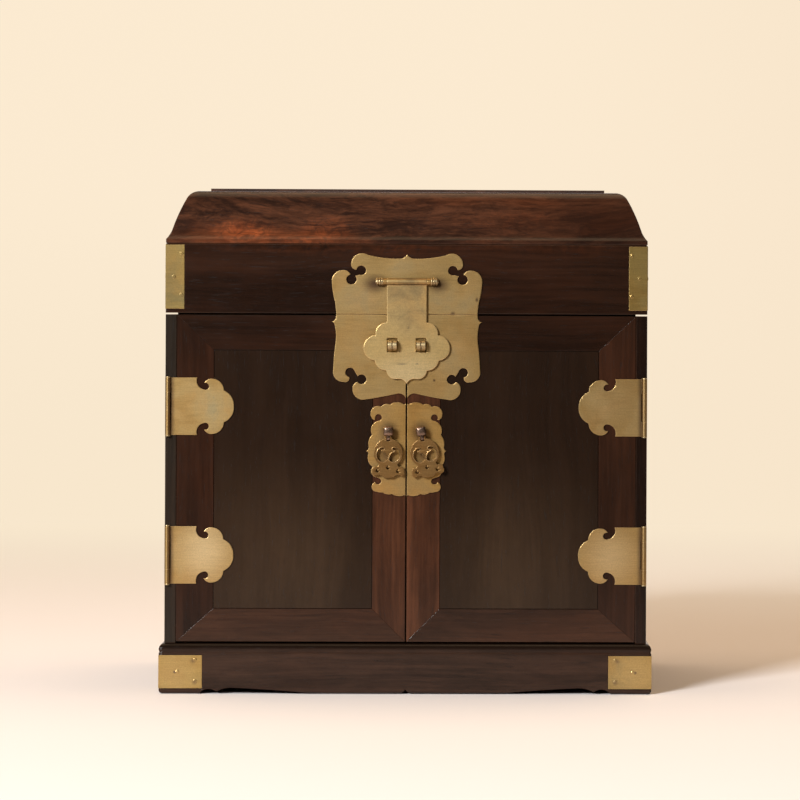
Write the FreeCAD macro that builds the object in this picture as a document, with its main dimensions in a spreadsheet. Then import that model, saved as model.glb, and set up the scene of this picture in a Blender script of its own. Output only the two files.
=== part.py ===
import FreeCAD, Part
import os
import re
import Sketcher

# Tabletop seal chest of dark wood with brass mounts, in millimetres. The lid faces up (+Z)
# and the two doors face the front (-Y). X = 0 is the line where the doors meet, Z = 0 is
# the surface that the base stands on, and Y = 0 is halfway between the foremost hardware
# and the back hinges.

document = FreeCAD.newDocument("seal_chest")
sheet = document.addObject("Spreadsheet::Sheet", "sizes")

# Driving sizes: name, content and meaning. A content that starts with = follows the others.
# Each name has an underscore, which is how an expression's names are told from its functions.
SIZES = (
    # Base
    ("plinth_width", "366", "width over the base"),
    ("plinth_depth", "268", "depth over the base"),
    ("plinth_height", "37.5", "height of the base"),
    ("plinth_thickness", "18", "thickness of a base rail"),
    ("plinth_step", "3.8", "how far the base stands out past the case"),
    ("bead_height", "6", "height of the rounded top edge"),
    ("bead_inset", "0.4", "depth of the step under the rounded edge"),
    ("foot_length", "30", "flat length of a foot, from the corner"),
    ("foot_radius", "3", "rounding of a foot's outer lower corner"),
    ("apron_lift", "4.5", "highest point of the apron's curve over the floor"),
    ("apron_dip", "0.7", "lowest point of the apron's curve over the floor"),
    ("base_mount_leg", "32", "length of a base corner mount along each side"),
    ("base_mount_low", "4.2", "underside of a base corner mount"),
    ("base_mount_height", "24.5", "height of a base corner mount"),
    ("mount_thickness", "0.9", "thickness of a corner mount"),
    ("mount_proud", "0.3", "how far a corner mount stands out of the wood"),
    ("nail_radius", "0.6", "shank radius of a mount's nail"),
    ("nail_head_radius", "1.2", "head radius of a mount's nail"),
    ("nail_head_height", "0.5", "height of a nail's head"),
    ("nail_length", "5", "shank length of a mount's nail"),
    # Case
    ("case_width", "=plinth_width - 2 * plinth_step", "width over the side panels"),
    ("case_depth", "=plinth_depth - 2 * plinth_step", "depth over the case"),
    ("case_top", "281.8", "top of the side panels"),
    ("side_thickness", "8.2", "thickness of a side panel"),
    ("back_thickness", "8", "thickness of the back panel"),
    ("bottom_thickness", "10", "thickness of the bottom board"),
    ("tray_depth", "46.3", "depth of the tray under the lid"),
    ("tray_thickness", "6", "thickness of the tray's floor"),
    ("tray_rail_thickness", "8", "thickness of the tray's front rail"),
    ("tray_rail_lip", "4", "how far the tray's rail stands up inside the lid"),
    ("divider_thickness", "8", "thickness of the divider between the drawers"),
    ("guide_width", "11", "width of the strip that guides the drawers"),
    ("shelf_thickness", "6", "thickness of a drawer shelf"),
    ("lower_drawer_space", "103", "clear height for a lower drawer"),
    ("seat_gap", "0.3", "gap between pieces that rest but aren't joined"),
    # Doors
    ("door_thickness", "12", "thickness of a door"),
    ("door_side_gap", "0.3", "gap beside a door, at its hinges"),
    ("cut_margin", "1", "how far a cutting shape runs past what it cuts"),
    ("meeting_gap", "1.1", "gap between the doors"),
    ("door_foot_gap", "1.2", "gap under the doors"),
    ("door_head_gap", "0.2", "how far the doors end below the side panels"),
    ("hinge_stile_width", "27.5", "width of a door's stile at its hinges"),
    ("meeting_stile_width", "24.5", "width of a door's stile at the middle"),
    ("top_rail_width", "26", "height of a door's top rail"),
    ("bottom_rail_width", "24.5", "height of a door's bottom rail"),
    ("tongue_depth", "5", "depth of the groove that holds a panel"),
    ("tongue_thickness", "4", "width of the groove that holds a panel"),
    ("panel_gap", "0.35", "gap around a panel's face"),
    ("float_gap", "0.15", "play of a panel's tongue in its groove"),
    # Lid
    ("seam_gap", "1.2", "gap between the side panels and the lid"),
    ("lid_wall_height", "51.4", "height of the lid's upright walls"),
    ("lid_wall_thickness", "8.2", "thickness of the lid's walls"),
    ("slope_height", "39.8", "height of the lid's slope over its walls"),
    ("slope_run", "24.2", "how far the slope comes in to the flat top"),
    ("slope_foot", "3.4", "upright foot of the slope"),
    ("slope_cove", "4.7", "how far the cove at the foot comes in"),
    ("slope_seam", "0.6", "depth of the groove between slope and wall"),
    ("top_frame_width", "31", "distance from the lid's side to its top panel"),
    ("top_frame_thickness", "11", "thickness of the frame round the top panel"),
    ("top_panel_rise", "2.2", "how far the top panel stands over its frame"),
    ("lid_mount_leg", "13.8", "length of a lid corner mount along each side"),
    ("lid_mount_low", "3", "height of a lid corner mount's underside over the wall's"),
    ("lid_mount_height", "47.6", "height of a lid corner mount"),
    # Brass plates and hinges
    ("plate_thickness", "1.2", "thickness of the lock, pull and hinge plates"),
    ("barrel_radius", "2", "outer radius of a hinge's barrel"),
    ("pin_radius", "1", "radius of a hinge pin"),
    ("running_gap", "0.05", "radial play of a pin or rod in its barrel"),
    ("knuckle_gap", "0.15", "gap between knuckles on one pin"),
    ("pin_head_height", "0.8", "height of a hinge pin's head"),
    ("hinge_axis_out", "2.2", "distance of a hinge's axis from the face it is on"),
    ("hinge_height", "42.6", "length of a hinge's barrel"),
    ("end_knuckle", "10.7", "length of an end knuckle"),
    ("leaf_length", "48.9", "distance from a hinge's axis to its leaf's tip"),
    ("leaf_start", "2.3", "distance from a hinge's axis to its leaf's straight edge"),
    ("strap_gap", "0.2", "gap between a hinge's strap and the wood behind it"),
    ("strap_overlap", "0.5", "how far a hinge's strap runs onto its leaf"),
    ("upper_hinge_drop", "68.1", "how far the upper hinges' middle lies under a door's top"),
    ("lower_hinge_rise", "64.3", "height of the lower hinges' middle over a door's foot"),
    ("lid_hinge_spread", "100", "distance of a lid hinge from the middle"),
    ("lock_half_width", "56", "half width of the lock plate"),
    ("upper_lock_height", "44.9", "height of the upper lock plate over the seam"),
    ("lower_lock_height", "63.6", "depth of the lower lock plate under the seam"),
    ("plate_seam_gap", "0.3", "gap between the upper and the lower lock plate"),
    # Hasp and eyes
    ("hasp_axis_height", "24.4", "height of the hasp's axis over the seam"),
    ("hasp_barrel_radius", "2.6", "outer radius of the hasp's barrel"),
    ("hasp_rod_radius", "1.3", "radius of the hasp's rod"),
    ("hasp_half_barrel", "14.8", "half length of the hasp's barrel"),
    ("hasp_thickness", "1.6", "thickness of the hasp"),
    ("hasp_stand_off", "1", "gap between the hasp and the lock plate"),
    ("hasp_axis_out", "0.3", "distance of the hasp's axis in front of its plate"),
    ("hasp_half_width", "32.2", "half width of the hasp"),
    ("hasp_drop", "51.7", "how far the hasp hangs under the seam"),
    ("lug_width", "2.8", "width of a lug that holds the hasp's rod"),
    ("slot_centre", "10.7", "distance of a hasp slot from the middle"),
    ("slot_width", "7.8", "width of a hasp slot"),
    ("slot_height", "10.4", "height of a hasp slot"),
    ("eye_drop", "22.9", "how far a padlock eye's middle lies under the seam"),
    ("eye_width", "6.5", "width of a padlock eye"),
    ("eye_radius", "3.9", "half height of a padlock eye"),
    ("eye_bore", "2", "radius of a padlock eye's hole"),
    ("eye_bolt_gap", "1.2", "gap between the hasp and an eye's hole"),
    ("eye_groove_width", "0.8", "width of the groove round a padlock eye"),
    ("eye_groove_depth", "0.5", "depth of the groove round a padlock eye"),
    # Pulls
    ("pull_plate_gap", "1.8", "gap between the lock plate and the pull plates under it"),
    ("pull_plate_half_width", "29.7", "half width of the two pull plates together"),
    ("pull_plate_half_height", "35.2", "half height of a pull plate"),
    ("left_pull_place", "13.4", "distance of the left pull from the middle"),
    ("right_pull_place", "10.9", "distance of the right pull from the middle"),
    ("pull_post_rise", "14", "height of a pull post over the middle of its plate"),
    ("post_radius", "1.6", "shank radius of a pull post"),
    ("post_ball_radius", "3.2", "radius of a pull post's ball"),
    ("post_reach", "9.6", "how far a pull post stands out of its plate"),
    ("post_collar_radius", "3.4", "radius of a pull post's collar"),
    ("pivot_drop", "5.2", "how far a pull's pivot lies under its post"),
    ("pivot_out", "3.6", "how far a pull's pivot stands out of the plate"),
    ("pivot_radius", "0.8", "radius of a pull's pivot pin"),
    ("lug_half_width", "1.1", "half width of the lug that carries a pull"),
    ("lug_radius", "1.9", "radius of the lug that carries a pull"),
    ("post_collar_thickness", "1", "thickness of a pull post's collar"),
    ("ear_radius", "1.7", "radius of a pull's ear"),
    ("ear_drop", "3.4", "how far a pull's ear reaches down under its pivot"),
    ("ear_thickness", "1.1", "thickness of a pull's ear"),
    ("ear_gap", "0.2", "gap between a pull's ear and the lug"),
    ("pull_thickness", "2.2", "thickness of a drop pull"),
    ("pull_half_width", "11.5", "half width of a drop pull at its foot"),
    ("pull_length", "28.6", "length of a drop pull under its pivot"),
    # Drawers
    ("drawer_set_back", "16", "gap between a closed door and the drawers"),
    ("drawer_play", "0.4", "gap around a drawer"),
    ("drawer_back_gap", "4", "gap behind a drawer"),
    ("drawer_front_thickness", "12", "thickness of a drawer's front"),
    ("drawer_side_thickness", "6", "thickness of a drawer's sides and back"),
    ("drawer_bottom_thickness", "4", "thickness of a drawer's bottom"),
    ("drawer_wall_drop", "6", "how far a drawer's walls end below its front"),
    ("knob_plate_thickness", "1", "thickness of the plate behind a drawer knob"),
    ("knob_reach", "11", "how far a drawer knob stands out"),
    ("knob_radius", "4.5", "radius of a drawer knob"),
    ("knob_plate_radius", "8", "radius of the plate behind a drawer knob"),
    # Places worked out from the sizes above
    ("front_reach", "=plate_thickness + post_reach", "foremost brass in front of the doors"),
    ("back_reach", "=hinge_axis_out + barrel_radius", "hinge barrels behind the case"),
    ("centre_back", "=(front_reach - back_reach) / 2", "the case's middle, behind Y = 0"),
    ("front_face", "=centre_back - case_depth / 2", "face of the doors and the case"),
    ("back_face", "=centre_back + case_depth / 2", "back face of the case"),
    ("inner_half", "=case_width / 2 - side_thickness", "inner face of a side panel"),
    ("inside_front", "=front_face + door_thickness + seat_gap", "front of what is inside"),
    ("inside_back", "=back_face - back_thickness", "front face of the back panel"),
    ("lid_bottom", "=case_top + seam_gap", "underside of the lid's walls"),
    ("lid_shoulder", "=lid_bottom + lid_wall_height", "top of the lid's walls"),
    ("lid_flat", "=lid_shoulder + slope_height", "top of the lid's frame"),
    ("seam_middle", "=case_top + seam_gap / 2", "middle of the seam"),
    ("floor_top", "=plinth_height + bottom_thickness", "top of the bottom board"),
    ("tray_floor_top", "=case_top - tray_depth", "top of the tray's floor"),
    ("tray_floor_low", "=tray_floor_top - tray_thickness", "underside of the tray's floor"),
    ("shelf_low", "=floor_top + lower_drawer_space", "underside of the drawer shelves"),
    ("shelf_top", "=shelf_low + shelf_thickness", "top of the drawer shelves"),
    ("door_outer", "=inner_half - door_side_gap", "a door's outer edge"),
    ("door_inner", "=meeting_gap / 2", "a door's edge at the middle"),
    ("door_low", "=plinth_height + door_foot_gap", "a door's lower edge"),
    ("door_high", "=case_top - door_head_gap", "a door's upper edge"),
    ("door_back", "=front_face + door_thickness", "a door's back face"),
    ("upper_hinge_centre", "=door_high - upper_hinge_drop", "middle of the upper door hinges"),
    ("lower_hinge_centre", "=door_low + lower_hinge_rise", "middle of the lower door hinges"),
    ("field_outer", "=door_outer - hinge_stile_width", "door panel's outer edge"),
    ("field_inner", "=door_inner + meeting_stile_width", "door panel's inner edge"),
    ("field_low", "=door_low + bottom_rail_width", "door panel's lower edge"),
    ("field_high", "=door_high - top_rail_width", "door panel's upper edge"),
    ("hinge_axis_side", "=case_width / 2 - barrel_radius", "a door hinge's axis, sideways"),
    ("hinge_axis_front", "=front_face - hinge_axis_out", "a door hinge's axis, in depth"),
    ("hinge_axis_back", "=back_face + hinge_axis_out", "the lid hinges' axis, in depth"),
    ("plate_front", "=front_face - plate_thickness", "front of the lock and pull plates"),
    ("hasp_axis_front", "=plate_front - hasp_stand_off - hasp_thickness - hasp_axis_out",
     "the hasp's axis, in depth"),
    ("hasp_axis_up", "=seam_middle + hasp_axis_height", "the hasp's axis, in height"),
    ("eye_nose", "=plate_front - hasp_stand_off - hasp_thickness - eye_bore - eye_bolt_gap",
     "axis of a padlock eye's hole, in depth"),
    ("eye_height", "=seam_middle - eye_drop", "height of the padlock eyes"),
    ("pull_plate_middle", "=seam_middle - lower_lock_height - pull_plate_gap"
     " - pull_plate_half_height", "middle of the pull plates"),
    ("pull_post_up", "=pull_plate_middle + pull_post_rise", "height of the pull posts"),
    ("pivot_front", "=plate_front - pivot_out", "a pull's pivot, in depth"),
    ("drawer_front", "=door_back + drawer_set_back", "front of the drawers"),
    ("drawer_back", "=inside_back - drawer_back_gap", "back of the drawers"),
    ("drawer_outer", "=inner_half - guide_width - drawer_play", "a drawer's outer side"),
    ("drawer_inner", "=divider_thickness / 2 + drawer_play", "a drawer's inner side"),
)

for row, (name, content, meaning) in enumerate(SIZES, start=1):
    sheet.set(f"A{row}", content)
    sheet.setAlias(f"A{row}", name)
    sheet.set(f"B{row}", meaning)
document.recompute()

# Ornament outlines, in millimetres as drawn. A point is (x, z), reached by a straight line,
# or (x, z, through x, through z), reached by an arc. Each is one half, from the top down.
UPPER_LOCK_OUTLINE = (
    (0, 44.9),
    (6.3, 41.5, 2.4, 42.3),
    (29, 44.1, 18, 42.1),
    (41.6, 37.8, 38.8, 43.4),
    (37.6, 33.2, 40.5, 34.4),
    (35.2, 29.4, 30.6, 32.2),
    (38.6, 28.6),
    (42, 29.7, 43.2, 22.7),
    (48.2, 32.8, 44.5, 32.2),
    (56, 24.7, 53.9, 30.1),
    (53.4, 9, 55.1, 16.5),
    (52.4, 0),
)
LOWER_LOCK_OUTLINE = (
    (52.5, 0),
    (52.9, -3),
    (56, -5.6, 54.1, -4.8),
    (53.6, -8, 54.3, -6.5),
    (53, -22, 52.7, -15),
    (54.6, -41, 54.1, -32),
    (46.7, -50.3, 52.8, -47.9),
    (42.6, -46.7, 43.2, -49.3),
    (38.7, -42.2, 44.4, -40.6),
    (36.4, -46.1),
    (36.6, -50.3, 30.5, -50.2),
    (40.2, -55.3, 39.2, -52),
    (32.5, -63.6, 38, -61.2),
    (7.1, -58.9, 20, -61.6),
    (0, -62.1, 2.4, -59.8),
)
HASP_OUTLINE = (
    (14.8, 24.4),
    (14.8, -6),
    (23.2, -15.4, 21.4, -8.9),
    (23.8, -34.2, 32.2, -24.6),
    (15, -41.7, 21.2, -39.2),
    (6.5, -47.9, 12.7, -46.4),
    (0, -51.7, 2.2, -48.9),
)
PULL_PLATE_OUTLINE = (
    (0, 35.1),
    (2.6, 34, 0.9, 34.1),
    (12.3, 33.4, 8, 35.2),
    (18.8, 31.9, 15.8, 33.9),
    (25.2, 22.9, 26, 29.6),
    (23, 22.6, 24.2, 22.2),
    (20.4, 21.4, 19.4, 25.9),
    (25.5, 11.1, 25.6, 17.6),
    (27.9, 2, 28, 6.5),
    (29.7, -0.9, 28.6, -0.1),
    (28.2, -3.4, 28.7, -1.7),
    (24.9, -12.9, 28, -9.2),
    (22, -20.6, 25.9, -17.8),
    (19.3, -21.8),
    (23.3, -24.2, 20.2, -25.7),
    (21.7, -31.4, 25.5, -28.6),
    (17.5, -31.9, 19.6, -31.9),
    (10.6, -33, 14.4, -33.3),
    (2.4, -34.2, 6.5, -34.5),
    (0, -35.1, 0.7, -34.3),
)
# Half of a hinge leaf, from its straight edge at the barrel to its tip.
LEAF_OUTLINE = (
    (3.7, 21.3),
    (21.7, 21.3),
    (26.9, 12.4, 22.3, 15.4),
    (26.9, 17.3, 30.4, 15),
    (33.6, 20.4, 29.6, 19.9),
    (41.5, 11.7, 39.2, 17.6),
    (48.9, 0, 46.9, 7.4),
)
# Half of a drop pull, from its neck under the pivot to the middle of its foot.
PULL_OUTLINE = (
    (3.2, -2.6),
    (4.9, -19.9, 10.4, -10.8),
    (8.6, -21.9, 6, -21.6),
    (11.2, -23.4, 10.6, -21.8),
    (8.8, -27.7, 11.5, -26.4),
    (5.2, -27.2, 6.8, -26.7),
    (0, -28.6, 2.8, -28.6),
)
# Round openings of a drop pull: x, z and radius.
PULL_OPENINGS = (
    (-4.3, -12, 3.5),
    (4.3, -12, 3.5),
    (-4.6, -6.9, 1),
    (4.6, -6.9, 1),
    (0, -20.6, 1.1),
    (-7, -23.9, 1.2),
    (7, -23.9, 1.2),
)
# Half of the apron's lower edge as shares: of the distance from foot to middle, and of the
# way from the dip to the lift.
APRON_CURVE = (
    (0.06, 0.72, 0.025, 0.62),
    (0.085, 0.3),
    (0.175, 1, 0.12, 0.85),
    (0.535, 0, 0.36, 0.58),
    (0.972, 0),
    (1, 0.8, 0.99, 0.28),
)

LEFT = -1
RIGHT = 1
SIDES = ((LEFT, "left"), (RIGHT, "right"))
BIG = "4 * plinth_width"
UPRIGHT = FreeCAD.Rotation()
ALONG_X = FreeCAD.Rotation(FreeCAD.Vector(0, 1, 0), 90)
ALONG_Y = FreeCAD.Rotation(FreeCAD.Vector(1, 0, 0), -90)
ALONG_MINUS_Y = FreeCAD.Rotation(FreeCAD.Vector(1, 0, 0), 90)
nodes = {}


def number(expression):
    return float(sheet.evalExpression(str(expression)))


def bound(expression):
    """The expression with each size's name pointing at the sheet."""
    return re.sub(r"[a-z]+(?:_[a-z]+)+", r"sizes.\g<0>", str(expression))


def sided(side, expression):
    """A distance from the middle, on the left or the right."""
    return f"-({expression})" if side == LEFT else f"({expression})"


def put(thing, x=0, y=0, z=0, turn=UPRIGHT):
    """Give a piece its place, bound to the sheet, and its turn."""
    thing.Placement = FreeCAD.Placement(FreeCAD.Vector(), turn)
    for letter, expression in (("x", x), ("y", y), ("z", z)):
        thing.setExpression(f".Placement.Base.{letter}", bound(expression))


def turned(degrees):
    return FreeCAD.Rotation(FreeCAD.Vector(0, 0, 1), degrees)


def add_sized(thing, at, turn, **sizes):
    for name, expression in sizes.items():
        thing.setExpression(name, bound(expression))
    put(thing, *at, turn=turn)
    return thing


def span_box(thing, x, y, z):
    """Stretch a box from its low corner to its high corner: each span is (low, high)."""
    low = (x[0], y[0], z[0])
    length, width, height = (f"({high}) - ({start})" for start, high in (x, y, z))
    return add_sized(thing, low, UPRIGHT, Length=length, Width=width, Height=height)


def sided_span(side, inner, outer):
    """The X span between two distances from the middle, low end first."""
    if side == LEFT:
        return sided(side, outer), sided(side, inner)
    return sided(side, inner), sided(side, outer)


def board(name, x, y, z):
    return span_box(document.addObject("Part::Box", name), x, y, z)


def new_body(name, y=0, turn=UPRIGHT, x=0, z=0):
    body = document.addObject("PartDesign::Body", name)
    put(body, x, y, z, turn)
    return body


def plane_of(body, role):
    return next(f for f in body.Origin.OriginFeatures if f.Role == role)


def new_sketch(body, name, role):
    sketch = body.newObject("Sketcher::SketchObject", f"{body.Name}_{name}")
    sketch.AttachmentSupport = [(plane_of(body, role), "")]
    sketch.MapMode = "FlatFace"
    return sketch


def bind_point(sketch, index, end, place):
    """Bind one end of a line or an arc, or a lone point, to a place in the sheet's sizes."""
    for kind, expression in (("DistanceX", place[0]), ("DistanceY", place[1])):
        distance = Sketcher.Constraint(kind, -1, 1, index, end, number(expression))
        made = sketch.addConstraint(distance)
        sketch.setExpression(f"Constraints[{made}]", bound(expression))


def draw_section(sketch, points):
    """Draw a closed shape of lines and arcs that is bound to the sheet.

    A point is (x, y), reached by a straight line, or (x, y, through x, through y), reached
    by an arc.
    """
    spots = [FreeCAD.Vector(number(point[0]), number(point[1]), 0) for point in points]
    pieces = []
    for i, point in enumerate(points):
        start, end = spots[i - 1], spots[i]
        if len(point) == 2:
            index = sketch.addGeometry(Part.LineSegment(start, end), False)
            pieces.append((index, 1, 2))
            continue
        through = FreeCAD.Vector(number(point[2]), number(point[3]), 0)
        index = sketch.addGeometry(Part.Arc(start, through, end), False)
        turns_left = (through - start).cross(end - through).z > 0
        pieces.append((index, 1, 2) if turns_left else (index, 2, 1))
        marker = sketch.addGeometry(Part.Point(through), True)
        sketch.addConstraint(Sketcher.Constraint("PointOnObject", marker, 1, index))
        bind_point(sketch, marker, 1, point[2:])
    for i, point in enumerate(points):
        index, _, end = pieces[i]
        follower, start, _ = pieces[(i + 1) % len(points)]
        sketch.addConstraint(Sketcher.Constraint("Coincident", index, end, follower, start))
        bind_point(sketch, index, end, point[:2])


def draw_outline(sketch, points):
    """Draw a closed outline of lines and arcs whose points are numbers."""
    before = points[-1]
    for point in points:
        start = FreeCAD.Vector(before[0], before[1], 0)
        end = FreeCAD.Vector(point[0], point[1], 0)
        if len(point) == 4:
            through = FreeCAD.Vector(point[2], point[3], 0)
            sketch.addGeometry(Part.Arc(start, through, end), False)
        elif start.distanceToPoint(end) > 0.001:
            sketch.addGeometry(Part.LineSegment(start, end), False)
        before = point


def draw_circle(sketch, x, y, radius):
    circle = Part.Circle(FreeCAD.Vector(x, y, 0), FreeCAD.Vector(0, 0, 1), radius)
    sketch.addGeometry(circle, False)


def fitted(points, width=1.0, height=1.0, x=0.0, z=0.0):
    """The outline stretched by width and height and moved to x, z."""
    result = []
    for point in points:
        moved = [x + point[0] * width, z + point[1] * height]
        if len(point) == 4:
            moved += [x + point[2] * width, z + point[3] * height]
        result.append(tuple(moved))
    return result


def stretch(points, half_width, height):
    """How far an outline is stretched sideways and upwards to reach two sizes."""
    drawn_width = max(abs(value) for point in points for value in point[::2])
    drawn_height = max(abs(value) for point in points for value in point[1::2])
    return number(half_width) / drawn_width, number(height) / drawn_height


def backwards(points, x=1, z=1):
    """The outline from its last point to its first, mirrored where x or z is -1."""
    result = []
    for i in range(len(points) - 1, 0, -1):
        target = points[i - 1]
        moved = [x * target[0], z * target[1]]
        if len(points[i]) == 4:
            moved += [x * points[i][2], z * points[i][3]]
        result.append(tuple(moved))
    return result


def both_halves(points, x=1, z=1):
    """A half outline and its mirror image as one closed outline."""
    return list(points) + backwards(points, x, z)


def extrude(body, kind, sketch, length, name, through=False, flipped=False):
    feature = body.newObject(f"PartDesign::{kind}", f"{body.Name}_{name}")
    feature.Profile = sketch
    feature.setExpression("Length", bound(length))
    feature.Midplane = through
    feature.Reversed = flipped
    return feature


def pad(body, sketch, length, name="pad", through=False, flipped=False):
    return extrude(body, "Pad", sketch, length, name, through, flipped)


def pocket(body, sketch, length=BIG, name="pocket", through=True, flipped=False):
    return extrude(body, "Pocket", sketch, length, name, through, flipped)


def add_box(body, name, x, y, z, cut=False):
    kind = "SubtractiveBox" if cut else "AdditiveBox"
    box = body.newObject(f"PartDesign::{kind}", f"{body.Name}_{name}")
    return span_box(box, x, y, z)


def add_cylinder(body, name, at, radius, length, turn=UPRIGHT, cut=False):
    kind = "SubtractiveCylinder" if cut else "AdditiveCylinder"
    cylinder = body.newObject(f"PartDesign::{kind}", f"{body.Name}_{name}")
    return add_sized(cylinder, at, turn, Radius=radius, Height=length)


def add_sphere(body, name, at, radius):
    sphere = body.newObject("PartDesign::AdditiveSphere", f"{body.Name}_{name}")
    return add_sized(sphere, at, UPRIGHT, Radius=radius)


def node(name, *pieces):
    """Register one sub-part: a piece by itself, or several solids as a group."""
    thing = pieces[0]
    if len(pieces) > 1:
        thing = document.addObject("Part::Compound", f"{name}_group")
        thing.Links = list(pieces)
    thing.Label = name
    nodes[name] = thing


def mitred_rail(name, turn, length, span, section, thickness):
    """A rail of a four-sided frame: its section runs along X and both ends are mitred.

    The section's points are (distance in from the outer face, height), and those of an arc
    are followed by such a pair on the arc.
    """
    body = new_body(name, "centre_back", turned(turn))
    profile = new_sketch(body, "section", "YZ_Plane")
    placed = []
    for point in section:
        moved = [f"{point[0]} - ({span}) / 2", point[1]]
        if len(point) == 4:
            moved += [f"{point[2]} - ({span}) / 2", point[3]]
        placed.append(moved)
    draw_section(profile, placed)
    pad(body, profile, length, "rail", through=True)
    mitre = new_sketch(body, "mitre", "XY_Plane")
    reach = f"({thickness}) + cut_margin"
    for sign in (-1, 1):
        corners = (
            (f"{sign} * (({length}) / 2 + cut_margin)", f"-({span}) / 2 - cut_margin"),
            (f"{sign} * (({length}) / 2 + cut_margin)", f"{reach} - ({span}) / 2"),
            (f"{sign} * (({length}) / 2 - ({reach}))", f"{reach} - ({span}) / 2"),
        )
        draw_section(mitre, corners)
    pocket(body, mitre, name="mitre_cut")
    return body


def corner_recess(body, length, span, leg, low, height):
    """Cut the recesses for the corner mounts at both ends of a rail's outer face."""
    depth = "mount_thickness - mount_proud"
    y = (f"-({span}) / 2 - cut_margin", f"{depth} - ({span}) / 2")
    z = (low, f"{low} + {height}")
    left = (f"-({length}) / 2 - cut_margin", f"{leg} - ({length}) / 2")
    right = (f"({length}) / 2 - {leg}", f"({length}) / 2 + cut_margin")
    add_box(body, "left_recess", left, y, z, cut=True)
    add_box(body, "right_recess", right, y, z, cut=True)


# Nails of a corner mount on each face: share of the leg's length, share of its height.
NAIL_PLACES = ((0.84, 0.86), (0.43, 0.5), (0.84, 0.22))


def nail_spots(leg, low, height):
    return [(f"{leg} * {along}", f"{low} + {height} * {up}") for along, up in NAIL_PLACES]


def nail_holes(body, length, span, leg, low, height):
    for index, (along, up) in enumerate(nail_spots(leg, low, height)):
        for sign in (-1, 1):
            at = (f"{sign} * (({length}) / 2 - {along})", f"-({span}) / 2", up)
            side = "left" if sign < 0 else "right"
            add_cylinder(body, f"{side}_nail_hole_{index}", at, "nail_radius + running_gap",
                         "nail_length", ALONG_Y, cut=True)


def corner_mounts(name, width, depth, leg, low, height):
    """Four angle mounts that wrap the corners, each with its nails."""
    pieces = []
    corners = ((0, -1, -1), (90, 1, -1), (180, 1, 1), (270, -1, 1))
    for turn, across, back in corners:
        x = f"{across} * ({width}) / 2"
        y = f"centre_back + {back} * ({depth}) / 2"
        mount = new_body(f"{name}_{turn}", y, turned(turn), x)
        outside = "-mount_proud"
        inside = "mount_thickness - mount_proud"
        z = (low, f"{low} + {height}")
        add_box(mount, "front_leg", (outside, leg), (outside, inside), z)
        add_box(mount, "side_leg", (outside, inside), (outside, leg), z)
        pieces.append(mount)
        for index, (along, up) in enumerate(nail_spots(leg, low, height)):
            for on_side in (False, True):
                face = "side" if on_side else "front"
                label = f"{face}_{index}"
                at = (outside, along, up) if on_side else (along, outside, up)
                way = ALONG_X if on_side else ALONG_Y
                add_cylinder(mount, f"hole_{label}", at, "nail_radius + running_gap",
                             "mount_thickness", way, cut=True)
                nail = new_body(f"{name}_{turn}_nail_{label}", y, turned(turn), x)
                add_cylinder(nail, "shank", at, "nail_radius", "nail_length", way)
                head = list(at)
                head[0 if on_side else 1] = f"{outside} - nail_head_height"
                add_cylinder(nail, "head", tuple(head), "nail_head_radius",
                             "nail_head_height", way)
                pieces.append(nail)
    node(name, *pieces)


def make_plinth():
    section = (
        ("0", "foot_radius"),
        ("foot_radius", "0", "foot_radius * 0.293", "foot_radius * 0.293"),
        ("plinth_thickness", "0"),
        ("plinth_thickness", "plinth_height"),
        ("bead_height * 0.6", "plinth_height"),
        ("0", "plinth_height - bead_height * 0.8",
         "bead_height * 0.16", "plinth_height - bead_height * 0.27"),
        ("bead_inset", "plinth_height - bead_height"),
        ("bead_inset", "plinth_height - bead_height * 1.12"),
        ("0", "plinth_height - bead_height * 1.2"),
    )
    mount = ("base_mount_leg", "base_mount_low", "base_mount_height")
    rails = (
        ("front", 0, "plinth_width", "plinth_depth"),
        ("right", 90, "plinth_depth", "plinth_width"),
        ("back", 180, "plinth_width", "plinth_depth"),
        ("left", 270, "plinth_depth", "plinth_width"),
    )
    for side, turn, length, span in rails:
        name = f"plinth_{side}_rail"
        body = mitred_rail(name, turn, length, span, section, "plinth_thickness")
        apron = new_sketch(body, "apron", "XZ_Plane")
        draw_outline(apron, apron_outline(length))
        pocket(body, apron, name="apron_cut")
        corner_recess(body, length, span, *mount)
        nail_holes(body, length, span, *mount)
        node(name, body)
    corner_mounts("plinth_corner_mounts", "plinth_width", "plinth_depth", *mount)


def apron_outline(length):
    """The space under a base rail, from its left foot to its right foot."""
    reach = number(f"({length}) / 2 - foot_length")
    dip = number("apron_dip")
    rise = number("apron_lift") - dip
    half = [(-reach, -number("cut_margin")), (-reach, 0.0)]
    for share in APRON_CURVE:
        point = [-reach * (1 - share[0]), dip + rise * share[1]]
        if len(share) == 4:
            point += [-reach * (1 - share[2]), dip + rise * share[3]]
        half.append(tuple(point))
    return both_halves(half, x=-1)


def leaf_half(start):
    """Half of a leaf's outline in the sheet's size, beginning at a distance from the axis."""
    width = number("leaf_length") / LEAF_OUTLINE[-1][0]
    height = number("hinge_height") / 2 / LEAF_OUTLINE[0][1]
    half = fitted(LEAF_OUTLINE, width, height)
    return [(number(start), half[0][1])] + half[1:]


def leaf_outline(start="leaf_start", side=RIGHT):
    half = leaf_half(start)
    return fitted(both_halves(half, z=-1), width=side)


def knuckle_spans(middle):
    """Lengthwise spans of a leaf's knuckles, measured from the hinge's middle."""
    half = "hinge_height / 2"
    if middle:
        return (("middle", f"end_knuckle + knuckle_gap - {half}",
                 f"{half} - end_knuckle - knuckle_gap"),)
    return (("low", f"-{half}", f"end_knuckle - {half}"),
            ("high", f"{half} - end_knuckle", half))


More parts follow.
